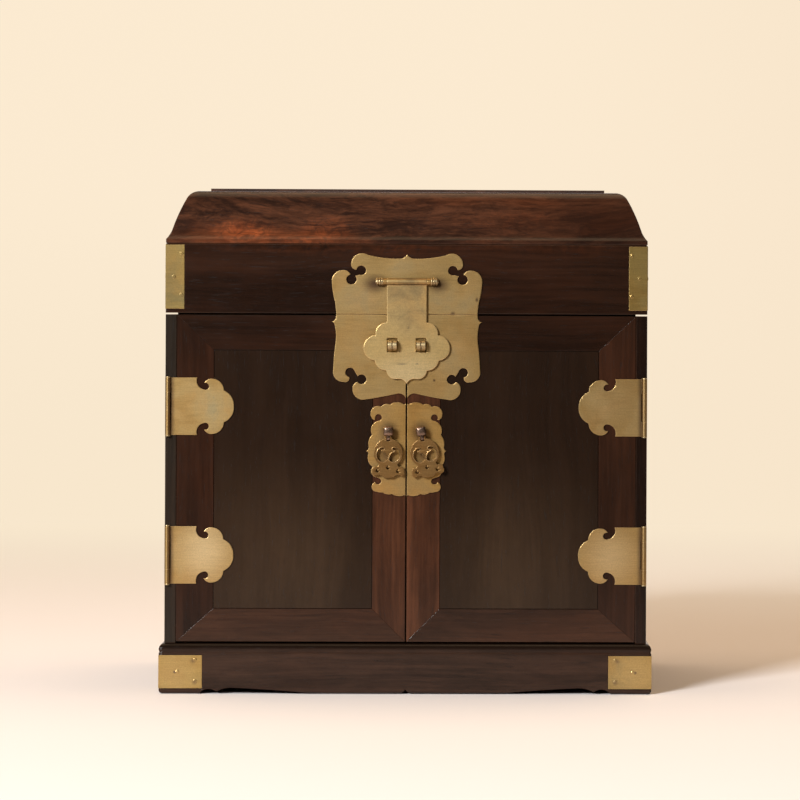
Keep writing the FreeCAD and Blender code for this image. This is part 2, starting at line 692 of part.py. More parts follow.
def make_case():
    inside = ("-inner_half", "inner_half")
    depth = ("front_face", "back_face")
    for side, name in SIDES:
        panel = new_body(f"{name}_side_panel")
        x = sided_span(side, "inner_half", "case_width / 2")
        add_box(panel, "board", x, depth, ("plinth_height", "case_top"))
        for place in ("upper", "lower"):
            recess = new_sketch(panel, f"{place}_recess", "YZ_Plane")
            shape = leaf_outline("hinge_axis_out - cut_margin")
            draw_outline(recess, fitted(shape, x=number("hinge_axis_front"),
                                        z=number(f"{place}_hinge_centre")))
            set_side_plane(recess, side)
            pocket(panel, recess, name=f"{place}_leaf_recess", length="plate_thickness",
                   through=False, flipped=side == LEFT)
        node(f"{name}_side_panel", panel)
    upright = ("plinth_height", "lid_bottom - seat_gap")
    node("back_panel", board("back_panel", inside, ("inside_back", "back_face"), upright))
    floor_depth = ("inside_front", "inside_back")
    bottom = board("bottom_board", inside, floor_depth, ("plinth_height", "floor_top"))
    node("bottom_board", bottom)
    rail_back = "inside_front + tray_rail_thickness"
    node("tray_floor", board("tray_floor", inside, (rail_back, "inside_back"),
                             ("tray_floor_low", "tray_floor_top")))
    node("tray_front_rail", board("tray_front_rail", inside, ("inside_front", rail_back),
                                  ("tray_floor_low", "lid_bottom + tray_rail_lip")))
    column = ("floor_top", "tray_floor_low")
    divider = ("-divider_thickness / 2", "divider_thickness / 2")
    node("centre_divider", board("centre_divider", divider, floor_depth, column))
    frame = []
    for side, name in SIDES:
        guide = sided_span(side, "inner_half - guide_width", "inner_half")
        frame.append(board(f"{name}_guide", guide, floor_depth, column))
        shelf = sided_span(side, "divider_thickness / 2", "inner_half - guide_width")
        frame.append(board(f"{name}_shelf", shelf, ("drawer_front", "inside_back"),
                           ("shelf_low", "shelf_top")))
    node("drawer_frame", *frame)


def set_side_plane(sketch, side):
    """Move a sketch on the YZ plane out to the side panel's outer face."""
    distance = bound(sided(side, "case_width / 2"))
    sketch.setExpression(".AttachmentOffset.Base.z", distance)


def make_hinges():
    """Case halves of the hinges, and every hinge pin."""
    case_leaves = []
    pins = []
    for side, name in SIDES:
        for place in ("upper", "lower"):
            middle = f"{place}_hinge_centre"
            label = f"{name}_{place}_case_leaf"
            leaf = new_body(label, "hinge_axis_front", x=sided(side, "hinge_axis_side"),
                            z=middle)
            plate = new_sketch(leaf, "plate", "YZ_Plane")
            draw_outline(plate, leaf_outline("hinge_axis_out"))
            plate.setExpression(".AttachmentOffset.Base.z",
                                bound(sided(side, "barrel_radius")))
            pad(leaf, plate, "plate_thickness", flipped=side == RIGHT)
            strap = sided_span(side, "barrel_radius - plate_thickness", "barrel_radius")
            for knuckle, low, high in knuckle_spans(middle=True):
                add_box(leaf, f"{knuckle}_strap", strap,
                        ("0", "hinge_axis_out + strap_overlap"), (low, high))
                add_cylinder(leaf, knuckle, (0, 0, low), "barrel_radius",
                             f"({high}) - ({low})")
            add_cylinder(leaf, "bore", (0, 0, "-hinge_height / 2"),
                         "pin_radius + running_gap", "hinge_height", cut=True)
            case_leaves.append(leaf)
            pin = new_body(f"{name}_{place}_door_pin", "hinge_axis_front",
                           x=sided(side, "hinge_axis_side"), z=middle)
            add_pin(pin, UPRIGHT)
            pins.append(pin)
    node("case_door_hinge_leaves", *case_leaves)
    lid_leaves = []
    for side, name in SIDES:
        place = {"y": "hinge_axis_back", "x": sided(side, "lid_hinge_spread"),
                 "z": "seam_middle"}
        leaf = back_leaf(f"{name}_case_lid_leaf", place, down=True)
        lid_leaves.append(leaf)
        pin = new_body(f"{name}_lid_pin", **place)
        add_pin(pin, ALONG_X)
        pins.append(pin)
    node("case_lid_hinge_leaves", *lid_leaves)
    node("hinge_pins", *pins)


def add_pin(body, turn):
    """A hinge pin with a head at each end, along the barrel."""
    half = "hinge_height / 2"
    axis = 2 if turn == UPRIGHT else 0
    spans = (("shank", f"-{half}", f"{half}", "pin_radius"),
             ("low_head", f"-{half} - pin_head_height - knuckle_gap", f"-{half} - knuckle_gap",
              "barrel_radius"),
             ("low_neck", f"-{half} - knuckle_gap", f"-{half}", "pin_radius"),
             ("high_neck", half, f"{half} + knuckle_gap", "pin_radius"),
             ("high_head", f"{half} + knuckle_gap",
              f"{half} + knuckle_gap + pin_head_height", "barrel_radius"))
    for name, low, high, radius in spans:
        at = [0, 0, 0]
        at[axis] = low
        add_cylinder(body, name, tuple(at), radius, f"({high}) - ({low})", turn)


def back_leaf(name, place, down):
    """A lid hinge's leaf on the back, pointing up the lid or down the case."""
    leaf = new_body(name, **place)
    plate = new_sketch(leaf, "plate", "XZ_Plane")
    way = -1 if down else 1
    half = leaf_half("leaf_start")
    outline = []
    for point in both_halves(half, z=-1):
        swapped = [point[1], way * point[0]]
        if len(point) == 4:
            swapped += [point[3], way * point[2]]
        outline.append(tuple(swapped))
    draw_outline(plate, outline)
    plate.setExpression(".AttachmentOffset.Base.z",
                        bound("hinge_axis_out - plate_thickness"))
    pad(leaf, plate, "plate_thickness")
    strap_depth = ("strap_gap - hinge_axis_out", "plate_thickness - hinge_axis_out")
    reach = "leaf_start + strap_overlap"
    rise = (f"-({reach})", "0") if down else ("0", reach)
    for knuckle, low, high in knuckle_spans(middle=down):
        add_box(leaf, f"{knuckle}_strap", (low, high), strap_depth, rise)
        add_cylinder(leaf, knuckle, (low, 0, 0), "barrel_radius", f"({high}) - ({low})",
                     ALONG_X)
    add_cylinder(leaf, "bore", ("-hinge_height / 2", 0, 0), "pin_radius + running_gap",
                 "hinge_height", ALONG_X, cut=True)
    return leaf


def door_piece(side, name, points):
    """One mitred member of a door's frame, with the groove that holds the panel."""
    body = new_body(name, "door_back")
    face = new_sketch(body, "face", "XZ_Plane")
    draw_section(face, [(sided(side, x), z) for x, z in points])
    pad(body, face, "door_thickness")
    groove = sided_span(side, "field_inner - tongue_depth", "field_outer + tongue_depth")
    add_box(body, "groove", groove, groove_depth(),
            ("field_low - tongue_depth", "field_high + tongue_depth"), cut=True)
    node(name, body)


def groove_depth():
    return ("-(door_thickness + tongue_thickness) / 2",
            "-(door_thickness - tongue_thickness) / 2")


def make_door(side, name):
    outer_high = ("door_outer", "door_high")
    outer_low = ("door_outer", "door_low")
    inner_high = ("door_inner", "door_high")
    inner_low = ("door_inner", "door_low")
    field_corners = {
        "oh": ("field_outer", "field_high"), "ol": ("field_outer", "field_low"),
        "ih": ("field_inner", "field_high"), "il": ("field_inner", "field_low"),
    }
    f = field_corners
    door_piece(side, f"{name}_door_top_rail", (inner_high, outer_high, f["oh"], f["ih"]))
    door_piece(side, f"{name}_door_bottom_rail", (inner_low, outer_low, f["ol"], f["il"]))
    door_piece(side, f"{name}_door_hinge_stile", (outer_low, outer_high, f["oh"], f["ol"]))
    door_piece(side, f"{name}_door_meeting_stile", (inner_low, inner_high, f["ih"], f["il"]))
    panel = new_body(f"{name}_door_panel", "door_back")
    back, front = groove_depth()[1], "-door_thickness"
    tongue = sided_span(side, "field_inner - tongue_depth + panel_gap",
                        "field_outer + tongue_depth - panel_gap")
    add_box(panel, "tongue", tongue,
            (f"{groove_depth()[0]} + float_gap", f"{back} - float_gap"),
            ("field_low - tongue_depth + panel_gap", "field_high + tongue_depth - panel_gap"))
    field = sided_span(side, "field_inner + panel_gap", "field_outer - panel_gap")
    add_box(panel, "field", field, (front, f"{back} - float_gap"),
            ("field_low + panel_gap", "field_high - panel_gap"))
    node(f"{name}_door_panel", panel)
    make_door_leaves(side, name)
    make_door_plates(side, name)
    make_eye(side, name)
    make_pull(side, name)


def make_door_leaves(side, name):
    leaves = []
    for place in ("upper", "lower"):
        leaf = new_body(f"{name}_{place}_door_leaf", "hinge_axis_front",
                        x=sided(side, "hinge_axis_side"), z=f"{place}_hinge_centre")
        plate = new_sketch(leaf, "plate", "XZ_Plane")
        draw_outline(plate, leaf_outline(side=-side))
        plate.setExpression(".AttachmentOffset.Base.z", bound("-hinge_axis_out"))
        pad(leaf, plate, "plate_thickness")
        strap = sided_span(-side, "0", "leaf_start + strap_overlap")
        for knuckle, low, high in knuckle_spans(middle=False):
            add_box(leaf, f"{knuckle}_strap", strap,
                    ("hinge_axis_out - plate_thickness", "hinge_axis_out - strap_gap"),
                    (low, high))
            add_cylinder(leaf, knuckle, (0, 0, low), "barrel_radius",
                         f"({high}) - ({low})")
        add_cylinder(leaf, "bore", (0, 0, "-hinge_height / 2"), "pin_radius + running_gap",
                     "hinge_height", cut=True)
        leaves.append(leaf)
    node(f"{name}_door_hinge_leaves", *leaves)


def plate_body(name, outline):
    """A flat brass plate on the front, from a closed outline."""
    body = new_body(name, "front_face")
    sketch = new_sketch(body, "outline", "XZ_Plane")
    draw_outline(sketch, outline)
    pad(body, sketch, "plate_thickness")
    return body


def door_half(points, side, z):
    """A half outline on one side, cut straight at the edge of its door."""
    edge = number("door_inner")
    inside = [(max(point[0], edge), *point[1:]) for point in points]
    if inside[0][0] > edge:
        inside.insert(0, (edge, inside[0][1]))
    return fitted(inside, width=side, z=number(z))


def make_door_plates(side, name):
    factors = stretch(LOWER_LOCK_OUTLINE, "lock_half_width", "lower_lock_height")
    lower = fitted(LOWER_LOCK_OUTLINE, *factors)
    lower[0] = (lower[0][0], -number("plate_seam_gap") / 2)
    outline = door_half(lower, side, "seam_middle")
    node(f"{name}_door_lock_plate", plate_body(f"{name}_door_lock_plate", outline))
    factors = stretch(PULL_PLATE_OUTLINE, "pull_plate_half_width", "pull_plate_half_height")
    outline = door_half(fitted(PULL_PLATE_OUTLINE, *factors), side, "pull_plate_middle")
    node(f"{name}_pull_plate", plate_body(f"{name}_pull_plate", outline))


def make_eye(side, name):
    """A padlock eye: a round-nosed block with a cross hole and a groove round it."""
    eye = new_body(f"{name}_padlock_eye", "eye_nose", x=sided(side, "slot_centre"),
                   z="eye_height")
    depth = ("0", "plate_front - eye_nose")
    half = "eye_width / 2"
    spans = (("core", f"-{half}", half, "eye_radius - eye_groove_depth"),
             ("left_rim", f"-{half}", "-eye_groove_width / 2", "eye_radius"),
             ("right_rim", "eye_groove_width / 2", half, "eye_radius"))
    for label, low, high, radius in spans:
        add_cylinder(eye, f"{label}_nose", (low, 0, 0), radius, f"({high}) - ({low})", ALONG_X)
        add_box(eye, f"{label}_block", (low, high), depth, (f"-({radius})", radius))
    add_cylinder(eye, "bore", (f"-{half}", 0, 0), "eye_bore", "eye_width", ALONG_X, cut=True)
    node(f"{name}_padlock_eye", eye)


# How far the right pull hangs askew, in degrees, as in the photograph.
PULL_TILTS = {"left": 0, "right": 10}


def make_pull(side, name):
    """The ball-headed post in the pull plate and the openwork drop pull on its lug."""
    tilt = FreeCAD.Rotation(FreeCAD.Vector(0, 1, 0), -PULL_TILTS[name])
    place = {"y": "plate_front", "x": sided(side, f"{name}_pull_place"),
             "z": "pull_post_up", "turn": tilt}
    post = new_body(f"{name}_pull_post", **place)
    add_cylinder(post, "collar", (0, 0, 0), "post_collar_radius", "post_collar_thickness",
                 ALONG_MINUS_Y)
    add_cylinder(post, "shank", (0, 0, 0), "post_radius", "post_reach - post_ball_radius",
                 ALONG_MINUS_Y)
    add_sphere(post, "ball", (0, "post_ball_radius - post_reach", 0), "post_ball_radius")
    lug_depth = ("-pivot_out - lug_radius", "lug_radius - pivot_out")
    add_box(post, "lug", ("-lug_half_width", "lug_half_width"), lug_depth,
            ("-pivot_drop", "0"))
    pivot = ("-lug_half_width", "-pivot_out", "-pivot_drop")
    add_cylinder(post, "lug_end", pivot, "lug_radius", "2 * lug_half_width", ALONG_X)
    add_cylinder(post, "bore", pivot, "pivot_radius + running_gap", "2 * lug_half_width",
                 ALONG_X, cut=True)
    node(f"{name}_pull_post", post)
    pull = new_body(f"{name}_drop_pull", **place)
    face = new_sketch(pull, "outline", "XZ_Plane")
    width, height = stretch(PULL_OUTLINE, "pull_half_width", "pull_length")
    drop = -number("pivot_drop")
    draw_outline(face, fitted(both_halves(PULL_OUTLINE, x=-1), width, height, 0, drop))
    for x, z, radius in PULL_OPENINGS:
        draw_circle(face, x * width, drop + z * height, radius * width)
    face.setExpression(".AttachmentOffset.Base.z", bound("pivot_out - pull_thickness / 2"))
    pad(pull, face, "pull_thickness")
    for ear, way in (("left", -1), ("right", 1)):
        near, far = "lug_half_width + ear_gap", "lug_half_width + ear_gap + ear_thickness"
        x = sided_span(way, near, far)
        add_box(pull, f"{ear}_ear", x,
                ("-pivot_out - pull_thickness / 2", "pull_thickness / 2 - pivot_out"),
                ("-pivot_drop - ear_drop", "-pivot_drop"))
        add_cylinder(pull, f"{ear}_ear_end", (x[0], "-pivot_out", "-pivot_drop"),
                     "ear_radius", "ear_thickness", ALONG_X)
    far = "lug_half_width + ear_gap + ear_thickness"
    add_cylinder(pull, "pin", (f"-({far})", "-pivot_out", "-pivot_drop"), "pivot_radius",
                 f"2 * ({far})", ALONG_X)
    node(f"{name}_drop_pull", pull)


def make_lid():
    wall = (
        ("0", "lid_bottom"),
        ("lid_wall_thickness", "lid_bottom"),
        ("lid_wall_thickness", "lid_shoulder"),
        ("0", "lid_shoulder"),
    )
    groove_low = "lid_flat - top_frame_thickness / 2 - tongue_thickness / 2"
    groove_high = "lid_flat - top_frame_thickness / 2 + tongue_thickness / 2"
    slope = (
        ("slope_seam", "lid_shoulder"),
        ("lid_wall_thickness", "lid_shoulder"),
        ("slope_run - 1", "lid_flat - top_frame_thickness"),
        ("top_frame_width", "lid_flat - top_frame_thickness"),
        ("top_frame_width", groove_low),
        ("top_frame_width - tongue_depth", groove_low),
        ("top_frame_width - tongue_depth", groove_high),
        ("top_frame_width", groove_high),
        ("top_frame_width", "lid_flat"),
        ("slope_run", "lid_flat"),
        ("slope_run * 0.595", "lid_flat - slope_height * 0.14",
         "slope_run * 0.74", "lid_flat - slope_height * 0.043"),
        ("slope_cove", "lid_shoulder + slope_height * 0.29",
         "slope_run * 0.38", "lid_shoulder + slope_height * 0.59"),
        ("0", "lid_shoulder + slope_foot",
         "slope_cove * 0.6", "lid_shoulder + slope_height * 0.18"),
        ("0", "lid_shoulder + slope_seam"),
        ("slope_seam", "lid_shoulder + slope_seam"),
    )
    mount = ("lid_mount_leg", "lid_bottom + lid_mount_low", "lid_mount_height")
    rails = (
        ("front", 0, "case_width", "case_depth"),
        ("right", 90, "case_depth", "case_width"),
        ("back", 180, "case_width", "case_depth"),
        ("left", 270, "case_depth", "case_width"),
    )
    for side, turn, length, span in rails:
        name = f"lid_{side}_wall"
        body = mitred_rail(name, turn, length, span, wall, "lid_wall_thickness")
        corner_recess(body, length, span, *mount)
        nail_holes(body, length, span, *mount)
        node(name, body)
        name = f"lid_{side}_slope"
        node(name, mitred_rail(name, turn, length, span, slope, "top_frame_width"))
    corner_mounts("lid_corner_mounts", "case_width", "case_depth", *mount)
    panel = new_body("lid_top_panel", "centre_back")
    reach = "top_frame_width - tongue_depth + panel_gap"
    add_box(panel, "tongue", (f"{reach} - case_width / 2", f"case_width / 2 - ({reach})"),
            (f"{reach} - case_depth / 2", f"case_depth / 2 - ({reach})"),
            (f"{groove_low} + float_gap", f"{groove_high} - float_gap"))
    inset = "top_frame_width + panel_gap"
    add_box(panel, "field", (f"{inset} - case_width / 2", f"case_width / 2 - ({inset})"),
            (f"{inset} - case_depth / 2", f"case_depth / 2 - ({inset})"),
            (f"{groove_low} + float_gap", "lid_flat + top_panel_rise"))
    node("lid_top_panel", panel)
    leaves = []
    for side, name in SIDES:
        place = {"y": "hinge_axis_back", "x": sided(side, "lid_hinge_spread"),
                 "z": "seam_middle"}
        leaves.append(back_leaf(f"{name}_lid_leaf", place, down=False))
    node("lid_hinge_leaves", *leaves)
    make_upper_lock()


def make_upper_lock():
    """The lock plate on the lid, its two lugs and the ringed rod that carries the hasp."""
    low = number("plate_seam_gap") / 2
    factors = stretch(UPPER_LOCK_OUTLINE, "lock_half_width", "upper_lock_height")
    half = fitted(UPPER_LOCK_OUTLINE, *factors)
    half[-1] = (half[-1][0], low)
    half.append((0, low))
    outline = fitted(both_halves(half, x=-1), z=number("seam_middle"))
    plate = plate_body("upper_lock_plate", outline)
    lug_start = "hasp_half_barrel + knuckle_gap"
    depth = ("hasp_axis_front - front_face", "-plate_thickness")
    for side, name in SIDES:
        x = sided_span(side, lug_start, f"{lug_start} + lug_width")
        height = ("hasp_axis_up - hasp_barrel_radius * 0.6",
                  "hasp_axis_up + hasp_barrel_radius * 0.6")
        add_box(plate, f"{name}_lug", x, depth, height)
        add_cylinder(plate, f"{name}_ring", (x[0], depth[0], "hasp_axis_up"),
                     "hasp_barrel_radius", "lug_width", ALONG_X)
        add_cylinder(plate, f"{name}_bore", (x[0], depth[0], "hasp_axis_up"),
                     "hasp_rod_radius", "lug_width", ALONG_X, cut=True)
    node("upper_lock_plate", plate)
    rod = new_body("hasp_rod", "hasp_axis_front", z="hasp_axis_up")
    end = f"{lug_start} + lug_width"
    add_cylinder(rod, "shank", (f"-({end})", 0, 0), "hasp_rod_radius", f"2 * ({end})", ALONG_X)
    bead = "hasp_barrel_radius"
    rings = (("collar", "0", "0.8 * lug_width", bead),
             ("neck", "0.8 * lug_width", "1.05 * lug_width", f"{bead} * 0.62"),
             ("bead", "1.05 * lug_width", "1.6 * lug_width", f"{bead} * 0.85"),
             ("tip", "1.6 * lug_width", "2 * lug_width", f"{bead} * 0.55"))
    for side, name in SIDES:
        for ring, start, stop, radius in rings:
            x = sided_span(side, f"{end} + {start}", f"{end} + {stop}")
            add_cylinder(rod, f"{name}_{ring}", (x[0], 0, 0), radius,
                         f"({x[1]}) - ({x[0]})", ALONG_X)
    node("hasp_rod", rod)


def make_hasp():
    """The cloud-shaped hasp: a strap rolled round the rod, with a slot for each eye."""
    hasp = new_body("hasp", "plate_front - hasp_stand_off", z="seam_middle")
    half = fitted(HASP_OUTLINE, *stretch(HASP_OUTLINE, "hasp_half_width", "hasp_drop"))
    strap = number("hasp_half_barrel")
    half[0] = (strap, number("hasp_axis_height"))
    half[1] = (strap, half[1][1])
    face = new_sketch(hasp, "outline", "XZ_Plane")
    draw_outline(face, both_halves(half, x=-1))
    pad(hasp, face, "hasp_thickness")
    axis = ("-hasp_half_barrel", "hasp_axis_front - plate_front + hasp_stand_off",
            "hasp_axis_height")
    add_cylinder(hasp, "barrel", axis, "hasp_barrel_radius", "2 * hasp_half_barrel", ALONG_X)
    add_cylinder(hasp, "bore", axis, "hasp_rod_radius + running_gap", "2 * hasp_half_barrel",
                 ALONG_X, cut=True)
    for side, name in SIDES:
        x = sided_span(side, "slot_centre - slot_width / 2", "slot_centre + slot_width / 2")
        add_box(hasp, f"{name}_slot", x, ("-hasp_thickness - cut_margin", "cut_margin"),
                ("-eye_drop - slot_height / 2", "slot_height / 2 - eye_drop"), cut=True)
    node("hasp", hasp)


def make_drawer(side, column, tier, low, high):
    name = f"{tier}_{column}_drawer"
    x = sided_span(side, "drawer_inner", "drawer_outer")
    front_back = "drawer_front + drawer_front_thickness"
    back_front = "drawer_back - drawer_side_thickness"
    z = (f"{low} + seat_gap", f"{high} - drawer_play")
    between = (f"{x[0]} + drawer_side_thickness", f"{x[1]} - drawer_side_thickness")
    sides = (front_back, "drawer_back")
    wall = (f"{low} + seat_gap", f"{high} - drawer_play - drawer_wall_drop")
    pieces = (
        board(f"{name}_front", x, ("drawer_front", front_back), z),
        board(f"{name}_left", (x[0], between[0]), sides, wall),
        board(f"{name}_right", (between[1], x[1]), sides, wall),
        board(f"{name}_back", between, (back_front, "drawer_back"), wall),
        board(f"{name}_bottom", between, (front_back, back_front),
              (f"{low} + seat_gap", f"{low} + seat_gap + drawer_bottom_thickness")),
    )
    node(name, *pieces)
    knob = new_body(f"{name}_knob", "drawer_front", z=f"({low} + {high}) / 2",
                    x=sided(side, "(drawer_inner + drawer_outer) / 2"))
    add_cylinder(knob, "plate", (0, 0, 0), "knob_plate_radius", "knob_plate_thickness",
                 ALONG_MINUS_Y)
    add_cylinder(knob, "stem", (0, 0, 0), "knob_radius / 2", "knob_reach - knob_radius",
                 ALONG_MINUS_Y)
    add_sphere(knob, "ball", (0, "knob_radius - knob_reach", 0), "knob_radius")
    node(f"{name}_knob", knob)


make_plinth()
make_case()
make_hinges()
for side, name in SIDES:
    make_door(side, name)
make_lid()
make_hasp()
for side, name in SIDES:
    make_drawer(side, name, "lower", "floor_top", "shelf_low")
    make_drawer(side, name, "upper", "shelf_top", "tray_floor_low")
document.recompute()

for thing in document.Objects:
    if "Invalid" in thing.State or "Error" in thing.State:
        raise RuntimeError(f"{thing.Name} did not build: {thing.State}")
os.makedirs("parts", exist_ok=True)
for name, thing in nodes.items():
    if thing.Shape.isNull() or not thing.Shape.isValid():
        raise RuntimeError(f"{name} has no valid shape")
for name, thing in nodes.items():
    thing.Shape.exportStep(os.path.join("parts", f"{name}.step"))
    print(name, len(thing.Shape.Solids), round(thing.Shape.Volume, 1))
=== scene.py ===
# %% [markdown]
# # A seal chest, dressed in Blender
# This chest stood on a writing table and held seals, brushes and papers: a lid over a
# tray, and a pair of doors in front of small drawers. The solid parts come from CAD, in
# metres, and stay where they are. This lesson gives them polished rosewood and old brass,
# models the turned and pierced fittings again in finer detail, and lights it all.

import math

import bmesh
import bpy
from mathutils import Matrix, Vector


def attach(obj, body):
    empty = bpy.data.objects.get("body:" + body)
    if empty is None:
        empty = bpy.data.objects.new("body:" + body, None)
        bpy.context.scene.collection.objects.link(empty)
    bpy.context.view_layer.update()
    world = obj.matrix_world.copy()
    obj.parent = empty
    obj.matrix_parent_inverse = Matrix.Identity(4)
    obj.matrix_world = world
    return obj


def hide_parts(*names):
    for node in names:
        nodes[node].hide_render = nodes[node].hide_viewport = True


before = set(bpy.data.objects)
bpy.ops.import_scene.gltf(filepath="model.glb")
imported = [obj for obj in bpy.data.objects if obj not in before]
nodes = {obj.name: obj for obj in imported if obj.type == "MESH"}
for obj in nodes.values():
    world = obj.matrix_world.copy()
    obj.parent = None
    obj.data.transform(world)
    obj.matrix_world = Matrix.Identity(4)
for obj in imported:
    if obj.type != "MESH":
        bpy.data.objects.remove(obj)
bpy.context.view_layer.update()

# %% [markdown]
# ## The camera
# The photographer stood about three metres away with a long lens, level with the seam
# between case and lid, so upright edges stay upright. The lens is shifted instead of
# tilted. The camera is turned by a degree and a half and rolled by a quarter of one, as
# the lines of the base show.

# %% Camera
CAMERA_PLACE = (0.0326, -3.0, 0.283)
CAMERA_TURN = (90, -0.253, -1.452)
LENS_LENGTH = 173.54
LENS_SHIFT = (-0.1856, -0.1071)

camera_data = bpy.data.cameras.new("camera")
camera_data.sensor_width = 36
camera_data.lens = LENS_LENGTH
camera_data.shift_x, camera_data.shift_y = LENS_SHIFT
camera_data.clip_end = 30
camera = bpy.data.objects.new("camera", camera_data)
camera.location = CAMERA_PLACE
camera.rotation_euler = [math.radians(angle) for angle in CAMERA_TURN]
bpy.context.scene.collection.objects.link(camera)
bpy.context.scene.camera = camera
print("camera at", tuple(round(value, 3) for value in camera.location))

# %% [markdown]
# ## The studio
# A long sheet of cream paper lies under the chest and runs up behind it in one sweep, so
# no horizon line shows. It starts as a plane; its far edge is pulled up into a wall, and
# the fold between them is beveled into a wide curve. In front it ends just under a metre
# from the chest: beyond that the room is dark, so the polished doors stay deep in colour.

# %% Paper sweep
PAPER_SIZE = 9
WALL_HEIGHT = 4.5
FOLD_WIDTH = 1.6
FRONT_CUT = 3.5


def deselect():
    for thing in bpy.context.selected_objects:
        thing.select_set(False)


def pick_edges(thing, wanted):
    """Select the edges of the mesh in edit mode that lie where `wanted` says."""
    bpy.ops.mesh.select_all(action="DESELECT")
    shape = bmesh.from_edit_mesh(thing.data)
    for edge in shape.edges:
        edge.select_set(all(wanted(vertex.co) for vertex in edge.verts))
    shape.select_flush_mode()
    bmesh.update_edit_mesh(thing.data)


deselect()
bpy.ops.mesh.primitive_plane_add(size=PAPER_SIZE, location=(0, 0, 0))
paper = bpy.context.object
paper.name = "paper_sweep"
bpy.ops.object.mode_set(mode="EDIT")
bpy.ops.mesh.select_mode(type="EDGE")
pick_edges(paper, lambda spot: spot.y > 4)
bpy.ops.mesh.extrude_region_move(TRANSFORM_OT_translate={"value": (0, 0, WALL_HEIGHT)})
pick_edges(paper, lambda spot: spot.y > 4 and abs(spot.z) < 0.01)
bpy.ops.mesh.bevel(offset=FOLD_WIDTH, segments=24, affect="EDGES")
pick_edges(paper, lambda spot: spot.y < -4)
bpy.ops.transform.translate(value=(0, FRONT_CUT, 0))
bpy.ops.object.mode_set(mode="OBJECT")
bpy.ops.object.transform_apply()
bpy.ops.object.shade_smooth()
print("paper sweep:", len(paper.data.polygons), "faces")

# %% [markdown]
# ## Light
# One soft box stands well away to the left and in front, low enough that the chest's
# shadow runs far back over the paper. A wide, warmer one hangs overhead and fills that
# shadow.

# %% Lamps
def soft_box(name, place, target, width, height, power, colour):
    """A rectangular lamp at a place, turned to face its target."""
    light = bpy.data.lights.new(name, "AREA")
    light.shape = "RECTANGLE"
    light.size = width
    light.size_y = height
    light.energy = power
    light.color = colour
    lamp = bpy.data.objects.new(name, light)
    lamp.location = place
    lamp.rotation_euler = (Vector(target) - Vector(place)).to_track_quat("-Z", "Y").to_euler()
    bpy.context.scene.collection.objects.link(lamp)


soft_box("key_light", (-2.2, -4.2, 1.9), (0, 0, 0.15), 1.1, 1.1, 360, (0.96, 1, 1))
soft_box("ceiling_light", (0, 0.4, 2.8), (0, 0.3, 0), 3.6, 2.6, 60, (1, 0.73, 0.45))

# %% [markdown]
# ## Building with nodes
# Nodes are joined in code here. `tree_node` adds a node and fills its sockets: a socket
# takes a plain value, or the output of another node. Effects that many materials share
# are groups, built once, that give back colours, masks, heights and normals.

# %% Joining nodes
VECTOR = "NodeSocketVector"
FLOAT = "NodeSocketFloat"
COLOUR = "NodeSocketColor"


def feed(tree, socket, value):
    """Give a socket a plain value, or join another node's output to it."""
    if isinstance(value, bpy.types.NodeSocket):
        tree.links.new(value, socket)
    else:
        socket.default_value = value


def tree_node(tree, kind, inputs=(), **settings):
    """A node with its settings made and its sockets filled."""
    made = tree.nodes.new(kind)
    for key, value in settings.items():
        setattr(made, key, value)
    for key, value in dict(inputs).items():
        feed(tree, made.inputs[key], value)
    return made


def new_group(name, takes, gives):
    """A shader node group, the sockets it takes from and the sockets it gives by."""
    group = bpy.data.node_groups.new(name, "ShaderNodeTree")
    for way, sockets in (("INPUT", takes), ("OUTPUT", gives)):
        for label, kind in sockets.items():
            group.interface.new_socket(label, in_out=way, socket_type=kind)
    taking, giving = (group.nodes.new("NodeGroup" + way) for way in ("Input", "Output"))
    return group, taking.outputs, giving.inputs


def group_node(tree, group, **inputs):
    return tree_node(tree, "ShaderNodeGroup", inputs, node_tree=group)


print("kinds of socket:", VECTOR, FLOAT, COLOUR)

# %% [markdown]
# ### The room
# The rest of the room is nearly dark, so polished wood doesn't turn grey. The Light Path
# node knows which rays come straight from the camera: for these alone, and so in the
# picture but in no reflection, the room is as pale as the paper.

# %% Room light
ROOM_LIGHT = (1, 0.84, 0.62, 1)
ROOM_STRENGTH = 0.12
ROOM_IN_PICTURE = (0.965, 0.823, 0.631, 1)

world = bpy.data.worlds.new("room_light")
bpy.context.scene.world = world
world.use_nodes = True
room = world.node_tree
glow = room.nodes["Background"]
feed(room, glow.inputs["Color"], ROOM_LIGHT)
feed(room, glow.inputs["Strength"], ROOM_STRENGTH)
seen = tree_node(room, "ShaderNodeBackground", {"Color": ROOM_IN_PICTURE})
looks = tree_node(room, "ShaderNodeLightPath").outputs["Is Camera Ray"]
either = tree_node(room, "ShaderNodeMixShader",
                   {0: looks, 1: glow.outputs[0], 2: seen.outputs[0]})
room.links.new(either.outputs[0], room.nodes["World Output"].inputs["Surface"])
bpy.context.scene.view_settings.view_transform = "Standard"
print("room light:", len(room.nodes), "nodes")

# %% [markdown]
# ### Short names for common nodes
# A pattern takes many small nodes: sums, blends, noises. Each gets a short function here
# that adds the node and gives back its output, so that a pattern reads like a sum.

# %% Short node tools
def maths(tree, operation, *values, clamp=False):
    made = tree_node(tree, "ShaderNodeMath", operation=operation, use_clamp=clamp)
    for socket, value in zip(made.inputs, values):
        feed(tree, socket, value)
    return made.outputs[0]


def times(tree, *values, clamp=False):
    return maths(tree, "MULTIPLY", *values, clamp=clamp)


def times_plus(tree, *values):
    """The first value times the second, plus the third."""
    return maths(tree, "MULTIPLY_ADD", *values)


